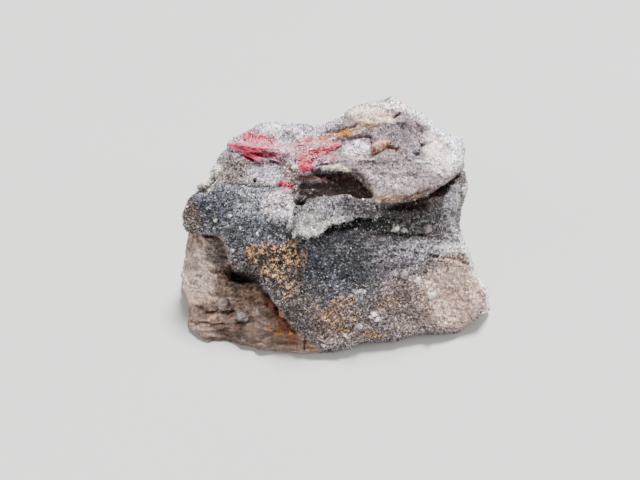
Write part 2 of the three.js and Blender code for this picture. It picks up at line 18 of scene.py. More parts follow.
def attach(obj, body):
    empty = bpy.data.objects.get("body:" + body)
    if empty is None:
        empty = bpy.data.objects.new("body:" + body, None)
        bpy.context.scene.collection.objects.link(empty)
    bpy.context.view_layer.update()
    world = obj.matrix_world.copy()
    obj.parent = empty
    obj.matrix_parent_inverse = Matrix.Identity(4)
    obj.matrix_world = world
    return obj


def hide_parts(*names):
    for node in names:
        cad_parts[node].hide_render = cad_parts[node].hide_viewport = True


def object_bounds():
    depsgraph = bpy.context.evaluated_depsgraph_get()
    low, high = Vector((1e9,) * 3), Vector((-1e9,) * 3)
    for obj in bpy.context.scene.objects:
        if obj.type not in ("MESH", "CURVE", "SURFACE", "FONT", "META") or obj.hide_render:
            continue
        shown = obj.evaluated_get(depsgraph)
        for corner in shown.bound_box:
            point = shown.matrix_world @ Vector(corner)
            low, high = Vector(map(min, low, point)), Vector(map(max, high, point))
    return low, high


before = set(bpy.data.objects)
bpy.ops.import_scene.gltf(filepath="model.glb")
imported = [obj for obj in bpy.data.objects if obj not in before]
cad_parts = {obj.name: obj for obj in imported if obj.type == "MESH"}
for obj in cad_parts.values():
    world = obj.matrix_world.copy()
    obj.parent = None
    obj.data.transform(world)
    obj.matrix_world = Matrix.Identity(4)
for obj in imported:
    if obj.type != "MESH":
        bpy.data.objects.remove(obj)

bl_info = {
    "name": "Erythrite on quartz",
    "version": (1, 0, 0),
    "blender": (4, 5, 0),
    "location": "3D View > Sidebar > Erythrite",
    "description": "Builds a drusy quartz specimen with fans of erythrite needles",
    "category": "Add Mesh",
}

CAD_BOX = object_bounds()
MM = 0.001

# ---- The show face's own frame: u to the right, v up the face, w straight out of it ----
FACE_RISE = math.radians(45.6)  # how far the face's normal rises above the horizontal
FACE_CENTRE = np.array((-1.84, -1.95, 8.3))
SPLAY = 97.0  # the beds' sides widen away from a point this far out from the face
FACE_U = np.array((1.0, 0.0, 0.0))
FACE_V = np.array((0.0, math.sin(FACE_RISE), math.cos(FACE_RISE)))
FACE_W = np.array((0.0, -math.cos(FACE_RISE), math.sin(FACE_RISE)))
VIEWPOINT = FACE_CENTRE + SPLAY * FACE_W

# ---- Numbers that more than one step uses, or that need a name ----
BASE_RISE = 0.12  # surface points lower than this belong to the flat base
BOX_SLACK = 0.3  # how far the relief may pass the solids' box at most
CRACKS = (2.9, 23)  # spacing and seed of the cracks, which the relief and the colours share
SLABS = (4.6, 61)  # the same for the large broken slabs
DEPTH_GAIN, DEPTH_POWER = 1.13, 1.62  # tone curve that makes dark beds darker and white ones whiter
QUARTZ_IOR = 1.544
ERYTHRITE_IOR = 1.66
GRAIN_GIRTH = 0.11  # radius of a druse grain at its foot
DENSEST = 3.0e7  # grains tried on a square metre before their spacing thins them out
FULL_TURN = 6.283  # radians
GROUP_SIZE = 5  # quartz crystals in each group of larger ones
CRYSTAL_POINTS = 13  # points of one crystal: two rings of six and the tip
BUNDLES = 14  # bundles of needles with their own shade in a fan
FROST_REACH = 0.1  # how near a needle has to pass to carry a frost crystal

# ---- The beds of the stone, outlined in the show face's frame ----
LUMP = (
    (0.2, 9.3), (2.4, 9.4), (4.8, 8.7), (6.0, 7.6), (7.0, 6.6), (7.6, 5.3), (8.2, 4.7), (9.4, 4.5), (11.0, 5.1),
    (12.6, 5.8), (14.2, 6.4), (16.8, 7.2), (18.4, 8.5), (19.7, 9.7), (19.9, 11.4), (21.4, 12.6), (20.4, 14.5),
    (16.2, 17.0), (12.8, 19.5), (10.0, 20.5), (5.2, 19.6), (3.4, 18.0), (3.1, 16.4), (2.0, 14.4), (2.2, 12.4),
    (1.2, 10.8),
)
SHELF = (
    (-15.0, 12.1), (-14.0, 14.5), (-9.8, 16.2), (-6.6, 17.2), (-0.8, 16.6), (3.4, 18.0), (4.6, 15.0), (3.0, 12.5),
    (2.4, 9.3), (0.2, 9.1), (-2.7, 8.9), (-3.3, 10.3), (-4.6, 11.3), (-7.0, 11.1), (-10.0, 11.4), (-12.6, 11.9),
)
STEP = (
    (-15.6, 9.8), (-14.6, 12.2), (-10.6, 11.6), (-7.6, 11.4), (-4.4, 11.2), (-2.6, 10.0), (-2.0, 8.4), (-4.0, 7.4),
    (-9.0, 7.6), (-13.4, 7.8), (-17.8, 6.6), (-17.0, 8.0),
)
DOME = (
    (-19.8, 1.4), (-19.8, 5.4), (-17.4, 6.9), (-13.4, 7.9), (-9.0, 7.8), (-5.6, 7.7), (-4.0, 7.0), (-3.2, 5.4),
    (-3.6, 3.8), (-3.7, 0.6), (-5.0, -0.5), (-9.0, -0.5), (-12.4, -0.2), (-13.6, 0.6), (-16.6, 0.9),
)
FLANK = (
    (-13.4, 1.4), (-13.1, 0.2), (-12.6, -1.5), (-12.3, -3.0), (-12.0, -4.2), (-10.4, -4.6), (-8.8, -5.4),
    (-7.8, -6.8), (-6.4, -8.3), (-5.0, -9.9), (-4.0, -11.7), (-2.8, -12.9), (-1.2, -14.2), (0.6, -15.2),
    (-0.8, -12.5), (-1.8, -9.5), (-2.2, -6.0), (-2.6, -2.0), (-2.6, 0.6), (-6.0, 1.0), (-10.0, 1.0),
)
PLATE = (
    (-3.7, 0.2), (-3.0, 0.9), (-2.3, 0.4), (-1.7, 0.1), (-1.1, 0.7), (-0.4, 0.5), (0.3, 0.9), (0.5, 1.6), (1.3, 1.9),
    (1.8, 2.4), (2.6, 2.0), (3.3, 2.5), (4.2, 2.4), (4.7, 3.0), (5.6, 3.2), (6.2, 2.8), (6.9, 3.1), (7.7, 2.5),
    (8.3, 3.8), (8.4, 5.0), (7.2, 5.6), (5.4, 5.7), (3.6, 6.2), (2.0, 6.0), (0.2, 6.0), (-1.2, 5.5), (-2.0, 5.3),
    (-2.6, 4.6), (-3.4, 4.9), (-3.8, 3.8), (-3.9, 2.8), (-3.6, 1.6),
)
DRUSY_BED = (
    (-2.6, 1.0), (-2.6, -2.0), (-2.2, -6.0), (-1.8, -9.5), (-0.8, -12.5), (0.4, -16.5), (24.5, -16.5), (24.5, -7.0),
    (20.0, 4.4), (14.0, 4.2), (9.0, 4.0), (6.0, 4.6), (0.0, 4.6),
)
RECESS = (
    (-2.8, 8.9), (0.2, 9.1), (2.4, 9.3), (4.8, 8.7), (6.0, 7.6), (7.0, 6.6), (7.6, 5.3), (8.2, 4.7), (9.4, 4.5),
    (8.4, 4.8), (7.2, 5.4), (5.4, 5.5), (3.6, 6.0), (2.0, 5.8), (0.2, 5.8), (-1.2, 5.3), (-1.8, 4.9), (-2.7, 4.4),
    (-3.5, 4.7), (-3.3, 5.7), (-2.9, 6.6),
)
UNDER_LUMP = (
    (8.2, 4.7), (9.4, 4.5), (11.0, 5.1), (12.6, 5.8), (14.2, 6.4), (16.8, 7.2), (18.4, 8.5), (19.7, 9.7), (19.9, 11.4),
    (21.8, 12.4), (21.6, 5.0), (17.0, 4.4), (13.0, 3.4), (9.0, 3.2),
)
FOOT = (
    (-20.0, 1.4), (-16.6, 0.9), (-13.6, 0.6), (-12.6, -1.5), (-12.0, -4.2), (-8.8, -5.4), (-6.4, -8.3),
    (-4.0, -11.7), (-1.2, -14.2), (0.6, -15.2), (0.6, -18.0), (-20.0, -18.0),
)

# ---- What each bed of the show face looks like ----
# A bed has its outline, its colour, how much of it is crusted with crystals, how far its edge fades in millimetres,
# and its marks, which lie over each other in their order.
# A spot is (u, v, half width, half height, turn in degrees); a trail is (width, (u, v), (u, v), ...).
# A mark lays a colour, a crust, a bare patch or rusty nests over its bed: which, its share, its shape, and how it
# is broken up.
Bed = namedtuple("Bed", "outline colour crust soft marks")
Mark = namedtuple("Mark", "colour share shape kind", defaults=("plain",))

FOOT_BED = Bed(FOOT, "#C0ABA0", 0.12, 0.25, (
    Mark("#F6E5DA", 0.9, (-16.8, -4.8, 3.0, 4.6, 0)),
    Mark("#7E6C60", 0.3, (-10.0, -4.0, 20.0, 12.0, 0), "dark streaks"),
    Mark("#8E8582", 0.75, (-14.2, -1.4, 1.9, 2.4, 0)),
    Mark("#6C625E", 0.6, (-13.2, -3.2, 1.0, 2.4, 0), "speckled"),
    Mark("#F5DACD", 0.9, (1.3, (-18.5, -8.3), (-14.6, -8.0))),
    Mark("#A89280", 0.85, (-10.0, -7.4, 3.4, 1.6, -8)),
    Mark("#A4938A", 0.7, (-8.6, -10.2, 2.4, 1.6, 0)),
    Mark("#7C685C", 0.95, (-12.0, -13.0, 7.0, 1.4, 0), "streaked"),
    Mark("#705C50", 0.55, (-9.0, -13.6, 9.0, 1.5, 2)),
    Mark("#8C6248", 0.7, (3.6, (-8.6, -6.4), (-6.8, -8.6), (-5.2, -11.2), (-4.0, -13.0)), "speckled"),
    Mark("#774830", 0.9, (2.2, (-7.0, -8.0), (-5.4, -10.0), (-4.4, -12.2))),
    Mark("#B06C3A", 0.8, (1.7, (-6.6, -8.4), (-5.2, -10.4), (-4.0, -12.6)), "speckled"),
    Mark("#A87442", 0.85, (-4.2, -12.9, 3.2, 1.2, -14), "speckled"),
    Mark("#D09A48", 0.9, (-5.4, -12.6, 2.0, 0.7, -8), "speckled"),
    # Painted shadow under the flank's sharp edge, and painted shade in the gap under it at the bottom.
    Mark("#3A2218", 0.75, (0.8, (-8.4, -6.4), (-6.8, -7.6), (-5.4, -9.0))),
    Mark("#3A2114", 0.6, (0.4, (-2.2, -13.4), (-1.9, -14.0), (-2.1, -14.9))),
    Mark("#A67E48", 0.8, (-1.1, -14.6, 0.9, 0.7, 0), "speckled"),
    Mark("#C68E50", 0.95, (-15.0, -10.2, 0.9, 0.5, 0), "speckled"),
    Mark("#A2662E", 0.9, (-12.3, -10.2, 0.6, 0.6, 0), "speckled"),
    Mark("#A2662E", 0.7, (-10.8, -12.1, 0.7, 0.4, 0), "speckled"),
    Mark("#2A1A12", 0.9, (0.3, (-13.0, -9.9), (-12.0, -9.7))),
    Mark("#2A1A12", 0.8, (0.25, (-15.2, -9.9), (-14.0, -9.9))),
    Mark("#5A3A2C", 0.8, (-16.2, -9.1, 0.4, 0.25, 0)),
    # A pebble: a painted shadow below it, a pale rim and a grey middle.
    Mark("#5E4A40", 0.9, (-13.1, -9.2, 1.3, 1.1, 0)),
    Mark("#F2E4DA", 0.95, (-13.1, -8.8, 1.15, 1.1, 0)),
    Mark("#9C8C84", 0.95, (-13.1, -8.9, 0.85, 0.8, 0)),
    # A second pebble, with the same painted shadow below it.
    Mark("#5E4A40", 0.9, (-10.6, -10.9, 1.2, 0.9, 10)),
    Mark("#F2E8E4", 0.95, (-10.6, -10.4, 1.1, 0.85, 10)),
    Mark("#B4A8A6", 0.95, (-10.6, -10.5, 0.8, 0.55, 10)),
    Mark("#F0D8CC", 0.95, (-14.3, -10.8, 1.1, 0.8, 0)),
    Mark("#B89484", 0.9, (-14.4, -11.0, 0.7, 0.45, 0)),
    Mark("#D8C8C0", 0.7, (-8.8, -9.9, 0.9, 0.7, 0)),
    # Painted shade in the hollow under the flank's edge.
    Mark("#4A342A", 1.0, (-10.3, -5.2, 2.7, 0.85, -10)),
    Mark("#4A382E", 0.85, (-10.0, -6.1, 3.0, 0.9, -14), "speckled"),
    # Near-black painted shade in the hollow under the dome's lower left edge.
    Mark("#1B1513", 1.0, (-14.8, 1.0, 1.9, 0.8, 0)),
    Mark("#4B3A30", 0.7, (-13.4, -4.6, 0.9, 1.0, 0), "speckled"),
))
DRUSY = Bed(DRUSY_BED, "#8A8587", 1.0, 0.12, (
    Mark("#6C6E77", 0.95, (2.2, -3.0, 6.2, 4.6, 0)),
    Mark("#B2AAB0", 0.85, (10.8, -4.0, 3.4, 4.0, 0)),
    Mark("#B9AAA6", 0.9, (12.4, -9.0, 5.6, 5.4, 0)),
    Mark("#E0CBC0", 0.95, (18.4, -7.4, 5.6, 6.0, 0)),
    Mark("#AB9F9D", 0.9, (3.0, -12.0, 6.5, 4.0, 0)),
    Mark("#A39491", 0.7, (0.0, -12.6, 3.0, 2.6, 0)),
    Mark("#DCD5DB", 0.8, (13.6, -1.4, 5.0, 1.4, -4)),
    Mark("#EDE7EC", 0.9, (3.0, (9.4, -1.0), (13.0, -1.2), (17.0, -1.4)), "streaked"),
    Mark("#C9C2C8", 0.8, (2.4, (6.6, -2.6), (10.0, -2.4), (15.0, -3.2)), "streaked"),
    Mark("#B4AEB6", 0.75, (2.0, (1.0, -1.4), (7.0, -1.0), (12.0, -0.8)), "streaked"),
    Mark("#F0ECE9", 0.95, (18.3, -1.2, 2.0, 0.9, -10)),
    Mark("#A07E64", 0.8, (0.5, (14.8, -2.3), (17.6, -2.5), (20.4, -3.4))),
    Mark("#7D7573", 0.5, (0.4, (11.0, -1.3), (13.4, -1.8), (15.6, -2.3))),
    Mark("#E3D0C4", 0.7, (19.0, -4.6, 2.6, 1.2, -15), "speckled"),
    Mark("#B07250", 0.7, (22.1, -7.3, 0.6, 0.3, 0)),
    # Painted highlight along the right rim.
    Mark("#FBF8F7", 0.95, (0.9, (19.3, 0.6), (20.0, -1.0), (21.2, -3.6), (22.8, -6.6), (23.2, -8.4), (22.6, -10.6))),
    Mark("bare", 0.5, (18.8, -7.8, 4.8, 5.4, 0)),
    Mark("#C4AC9C", 0.6, (18.6, -7.6, 5.0, 5.6, 0), "dark streaks"),
    Mark("#E6E9EE", 0.9, (5.3, -7.4, 1.1, 0.7, 20), "speckled"),
    Mark("#B0B3BA", 0.7, (5.6, -8.3, 0.8, 0.8, 0)),
    Mark("#433836", 0.95, (10.4, 2.6, 3.6, 1.5, 0), "speckled"),
    Mark("#3A3230", 0.7, (0.7, (8.2, 1.0), (11.0, 0.8), (14.4, 0.8))),
    Mark("#BFB9BE", 0.85, (17.8, 2.6, 1.6, 3.2, 0), "speckled"),
    # Painted shadow of the plate on the drusy bed beneath its rim.
    Mark("#1E1E22", 1.0, (2.0, (-2.0, 0.4), (1.2, 1.6), (4.0, 2.4), (7.6, 2.3))),
    Mark("nests", 1.0, (3.2, -8.5, 2.2, 0.9, 16)),
    Mark("nests", 1.0, (1.8, -10.6, 2.2, 1.4, -15)),
    Mark("nests", 0.95, (4.4, -10.6, 1.4, 1.3, 0)),
    Mark("nests", 0.8, (2.6, -12.6, 1.8, 0.8, 0)),
    Mark("nests", 0.95, (7.4, -12.9, 2.3, 0.6, -6)),
    Mark("nests", 0.5, (-1.4, -9.4, 1.4, 1.6, 0)),
    Mark("nests", 0.6, (-2.6, -2.6, 1.0, 1.9, 0)),
    Mark("nests", 0.4, (9.6, -8.4, 2.4, 0.8, 0)),
))
FLANK_BED = Bed(FLANK, "#837B7B", 1.0, 0.2, (
    Mark("#8C8D93", 0.6, (-11.6, -0.6, 1.6, 2.4, 0)),
    Mark("#5B5351", 0.7, (-6.0, -3.2, 4.4, 3.6, 0)),
    Mark("#857A78", 0.8, (-3.4, -9.6, 2.2, 3.0, 40)),
    Mark("#5D4E45", 0.6, (0.8, (-12.2, -3.6), (-9.8, -4.4), (-7.8, -6.4))),
    Mark("nests", 1.0, (-8.6, -1.8, 1.7, 1.5, 0)),
    Mark("nests", 1.0, (-4.8, -2.4, 2.6, 2.7, 0)),
    Mark("nests", 0.95, (-6.2, -4.8, 2.2, 1.3, -20)),
    Mark("nests", 0.6, (-6.6, 0.0, 3.4, 1.0, 0)),
    Mark("nests", 0.5, (-4.0, -7.0, 1.6, 1.8, 0)),
))
DOME_BED = Bed(DOME, "#85868D", 1.0, 0.35, (
    Mark("#646772", 0.9, (-14.4, 4.4, 2.6, 2.6, 0)),
    Mark("#AEAEB5", 0.85, (-9.2, 5.2, 2.8, 2.6, 0)),
    Mark("#DFD8DC", 0.95, (-5.8, 4.8, 2.6, 2.6, 0)),
    Mark("#F2ECEA", 0.95, (1.2, (-4.2, 1.8), (-3.8, 3.0), (-4.0, 5.2))),
    Mark("#6C6D75", 0.8, (-5.4, 1.0, 2.0, 1.2, 0)),
    Mark("#75655A", 0.9, (-17.6, 3.2, 1.5, 2.8, 0)),
    Mark("#8A5642", 0.9, (-17.5, 3.8, 0.6, 0.6, 0), "speckled"),
    # Painted shade at the dome's lower left, over the hollow beneath it.
    Mark("#2E2623", 0.85, (-15.2, 1.9, 2.2, 0.7, 0), "speckled"),
    Mark("#B9B4BA", 0.7, (0.8, (-14.0, 7.6), (-9.6, 7.2), (-6.0, 7.2)), "speckled"),
    Mark("#E9E4D8", 0.9, (0.5, (-15.6, 6.9), (-14.7, 7.5))),
))
STEP_BED = Bed(STEP, "#A79E9C", 0.7, 0.3, (
    Mark("#D2CBD3", 0.95, (-7.8, 9.1, 3.0, 1.3, 0)),
    Mark("#766A63", 0.9, (-12.0, 9.6, 1.8, 1.7, 0), "speckled"),
    Mark("#756759", 0.8, (-11.2, 11.2, 1.8, 0.8, -10), "speckled"),
    Mark("#9A8490", 0.95, (-7.8, 10.9, 2.2, 0.7, 0)),
    Mark("#8A7880", 0.95, (-5.4, 10.7, 0.9, 1.1, 0)),
    Mark("#B8A39F", 0.9, (-3.9, 9.9, 0.8, 1.6, 0)),
    Mark("#F6F2F2", 0.9, (0.3, (-7.8, 7.85), (-6.6, 7.7), (-5.6, 7.9))),
    Mark("#3A3536", 0.8, (-9.1, 8.2, 0.35, 0.3, 0)),
    Mark("#F4EEE2", 0.95, (1.0, (-16.5, 7.0), (-15.6, 8.2), (-14.7, 8.9), (-14.0, 10.0))),
    Mark("#2B2523", 0.9, (0.35, (-16.0, 6.9), (-14.7, 8.1), (-14.1, 8.9))),
))
RECESS_BED = Bed(RECESS, "#574A49", 0.45, 0.2, (
    Mark("#85625E", 0.9, (1.2, (-2.8, 8.5), (0.0, 8.5), (3.4, 8.4), (5.4, 7.2))),
    Mark("#8A7466", 0.6, (2.0, 7.4, 4.0, 0.5, -8), "speckled"),
    Mark("#94827B", 0.8, (3.2, 6.5, 3.8, 0.7, -6)),
    Mark("#85716A", 0.8, (6.2, 5.9, 1.8, 0.9, -20)),
    Mark("#7C6A66", 0.7, (0.6, 7.0, 3.4, 0.8, -4), "speckled"),
    Mark("#6A564C", 0.8, (-1.8, 6.4, 1.0, 0.9, 0)),
    # Painted shade in the small notch at the plate's upper left corner.
    Mark("#1E1816", 1.0, (-3.0, 5.1, 0.5, 0.5, 0)),
    Mark("#2B2422", 0.9, (0.35, (-2.8, 5.0), (-1.8, 5.4), (-0.8, 5.7))),
))
UNDER_BED = Bed(UNDER_LUMP, "#867A76", 0.7, 0.25, (
    # Dark brown under the lump's edge: partly rusty rock, partly painted shade.
    Mark("#5A4A47", 0.9, (1.1, (8.6, 4.3), (11.6, 4.4), (14.4, 4.4))),
    Mark("#8E7C72", 0.8, (1.0, (9.4, 4.7), (12.0, 4.9), (14.0, 5.2)), "speckled"),
    Mark("#6E5542", 0.9, (14.6, 5.6, 2.6, 1.0, 12), "speckled"),
    Mark("#B27E44", 0.9, (13.6, 5.8, 1.0, 0.5, 14), "speckled"),
    Mark("#B27E44", 0.8, (15.8, 6.0, 1.2, 0.5, 20), "speckled"),
    Mark("#DAD5DA", 0.9, (18.2, 5.6, 1.2, 2.6, -20)),
    # Painted highlight along the right rim, above the drusy bed's.
    Mark("#EDE9EA", 0.9, (0.8, (20.0, 6.6), (20.6, 8.4), (20.8, 10.0), (20.2, 11.4))),
    Mark("#5C4A3C", 0.8, (19.4, 8.9, 1.0, 1.1, 20), "speckled"),
    # Painted shade under the lump's lower right edge.
    Mark("#3A2A20", 0.9, (0.5, (16.0, 6.8), (18.0, 7.6), (19.3, 9.0), (20.0, 10.4))),
))
PLATE_BED = Bed(PLATE, "#A09A9E", 0.75, 0.1, (
    Mark("#D2CBCB", 0.9, (-1.4, 2.4, 2.0, 1.6, 30)),
    Mark("#E6E0DD", 0.9, (1.0, (-3.2, 0.9), (-0.6, 1.1), (1.2, 2.3), (3.0, 2.9))),
    Mark("#5E545A", 0.9, (4.8, 4.7, 2.8, 1.3, -10)),
    Mark("#4A4244", 0.8, (0.3, (-3.2, 4.8), (-3.6, 3.6), (-3.65, 2.4), (-3.5, 1.4))),
    Mark("#5F5350", 0.85, (7.0, 4.2, 1.6, 1.3, 0)),
    # Painted shade along the same notch.
    Mark("#2B2422", 0.9, (0.4, (-3.4, 5.0), (-2.6, 4.7), (-2.0, 5.2))),
))
SHELF_BED = Bed(SHELF, "#D0C6D0", 0.85, 0.25, (
    Mark("#EDE6EF", 0.8, (-2.6, 14.8, 3.0, 1.2, 0), "speckled"),
    Mark("#F3E4E9", 0.9, (-2.6, 12.9, 2.6, 0.9, 0), "speckled"),
    Mark("#FDFAFB", 1.0, (-6.5, 15.0, 1.6, 1.0, 0)),
    Mark("#FDFAFB", 0.9, (1.0, (-7.6, 15.0), (-5.2, 15.6))),
    Mark("#F6DFE6", 0.85, (-4.8, 12.6, 2.0, 1.1, 0)),
    Mark("#9C4468", 0.9, (-8.3, 13.8, 2.9, 1.2, -18)),
    Mark("#F58CA6", 0.8, (-8.3, 13.7, 2.8, 1.2, -18), "speckled"),
    Mark("#F8D2DC", 0.7, (-6.4, 12.9, 2.2, 0.8, -12), "speckled"),
    Mark("#F5AFBE", 0.8, (0.4, 13.2, 2.6, 0.7, 0), "speckled"),
    Mark("#A5668A", 0.85, (0.9, 11.3, 1.9, 0.9, 0)),
    Mark("#F8DEEA", 0.9, (0.9, 11.3, 1.9, 0.9, 0), "speckled"),
    Mark("#221A1F", 0.9, (2.0, 10.7, 0.3, 0.25, 0)),
    Mark("#4A4350", 0.8, (0.35, (-0.8, 10.3), (1.0, 10.4))),
    Mark("#A6806E", 0.8, (-3.2, 11.6, 0.7, 0.4, 0)),
    Mark("#D8607A", 0.8, (-1.9, 10.6, 1.2, 1.3, 0)),
    Mark("#C78B42", 0.9, (0.9, (0.2, 13.9), (1.4, 14.3), (3.0, 14.3))),
    Mark("#F4F0F2", 0.8, (0.7, (-12.6, 14.0), (-11.0, 14.6))),
))
LUMP_BED = Bed(LUMP, "#AA9DA0", 0.45, 0.25, (
    Mark("#F0E7EE", 0.95, (5.0, 12.4, 2.0, 1.6, 0)),
    Mark("#EAD6C8", 0.9, (7.6, 17.0, 3.6, 1.5, -4)),
    Mark("#E6C6A2", 0.85, (6.2, 16.3, 1.7, 0.8, -10), "speckled"),
    Mark("#FBF3EC", 0.9, (1.4, (4.2, 17.6), (7.0, 18.3), (10.0, 18.8), (12.4, 18.2))),
    # Grey middle of the lump: partly grey quartz, partly painted shade in its shallow hollow.
    Mark("#8D8186", 0.9, (10.8, 14.9, 2.6, 1.7, 0)),
    Mark("#776C74", 0.7, (11.4, 14.6, 1.6, 1.2, 0), "speckled"),
    Mark("#A0969B", 0.8, (12.8, 12.4, 2.0, 1.8, 0)),
    # White quartz of the lump's right side and ridge, painted brighter as highlights where it is lit.
    Mark("#F6E9E2", 0.95, (16.0, 12.2, 1.8, 3.6, 24)),
    Mark("#FBF9FA", 0.95, (18.6, 11.4, 1.4, 2.8, 0)),
    Mark("#F6F6FC", 0.95, (1.7, (13.0, 17.6), (15.2, 16.4), (17.2, 14.2), (19.2, 13.6))),
    Mark("crust", 1.0, (
        2.0, (3.6, 18.0), (6.4, 18.8), (10.0, 19.2), (13.2, 17.6), (15.2, 16.4), (17.4, 14.2), (19.2, 13.4),
    )),
    Mark("crust", 1.0, (18.8, 11.4, 1.2, 2.8, 0)),
    Mark("crust", 0.9, (5.0, 12.4, 2.0, 1.5, 0)),
    Mark("crust", 0.8, (9.0, 9.0, 3.6, 2.6, 0), "speckled"),
    Mark("crust", 0.65, (12.0, 12.0, 5.4, 4.6, 0), "speckled"),
    Mark("#D6A96C", 0.95, (1.1, (0.6, 14.0), (2.6, 14.4), (4.8, 14.9))),
    Mark("#A6743C", 0.6, (0.45, (1.2, 14.1), (2.6, 14.2), (4.4, 14.6))),
    Mark("#CBB4A2", 0.8, (1.1, (4.6, 15.2), (6.4, 15.6), (8.2, 15.9))),
    Mark("#DDB4A2", 0.95, (1.1, (7.5, 12.6), (8.2, 13.3), (9.4, 13.3))),
    Mark("#A06E56", 0.8, (0.5, (6.9, 12.0), (7.6, 12.2), (8.8, 12.6))),
    Mark("#9C7460", 0.85, (0.7, (9.3, 12.8), (10.0, 12.6), (10.8, 12.5))),
    Mark("#B08A72", 0.6, (0.9, (10.0, 13.2), (11.2, 12.6)), "speckled"),
    Mark("#7D6660", 0.6, (7.2, 11.6, 0.6, 0.5, 0)),
    Mark("#3C2F2B", 0.9, (14.2, 13.2, 0.3, 0.25, 0)),
    Mark("#5A5560", 0.9, (13.3, 11.9, 0.7, 0.5, 0), "speckled"),
    Mark("#6C625C", 0.8, (0.35, (10.2, 16.9), (10.9, 17.4))),
    Mark("#FBF4F2", 0.9, (0.3, (13.3, 10.8), (15.3, 10.7))),
    Mark("#FBF4F2", 0.8, (0.35, (14.8, 10.2), (17.2, 8.6))),
    Mark("#EEDDD6", 0.8, (0.35, (5.0, 11.0), (7.5, 10.9))),
    Mark("#8F8A94", 0.7, (4.6, 9.4, 0.7, 0.5, 0)),
    Mark("#A08E86", 0.7, (6.2, 10.0, 1.5, 0.9, -30), "speckled"),
    Mark("#F6ECDC", 0.95, (0.9, (0.2, 9.7), (2.2, 9.9), (3.8, 9.4))),
    Mark("#EDE1D2", 0.95, (1.1, (4.2, 9.0), (6.2, 7.6), (7.4, 6.7), (7.9, 5.5))),
    Mark("#B39C88", 0.9, (9.6, 5.9, 2.2, 0.8, 0)),
    Mark("#C09C6C", 0.9, (10.9, 5.9, 1.0, 0.6, 0), "speckled"),
    Mark("#84654A", 0.9, (0.5, (11.8, 5.7), (14.0, 6.6), (16.6, 7.4))),
    Mark("#E4D8D8", 0.75, (9.0, 8.6, 3.6, 2.2, 0), "speckled"),
    Mark("#857780", 0.7, (8.0, 10.4, 3.4, 1.2, -20), "speckled"),
))
# The foot comes first, the drusy bed second and the lump last, because some steps treat those three by themselves.
BEDS = (FOOT_BED, DRUSY, FLANK_BED, DOME_BED, STEP_BED, RECESS_BED, UNDER_BED, PLATE_BED, SHELF_BED, LUMP_BED)

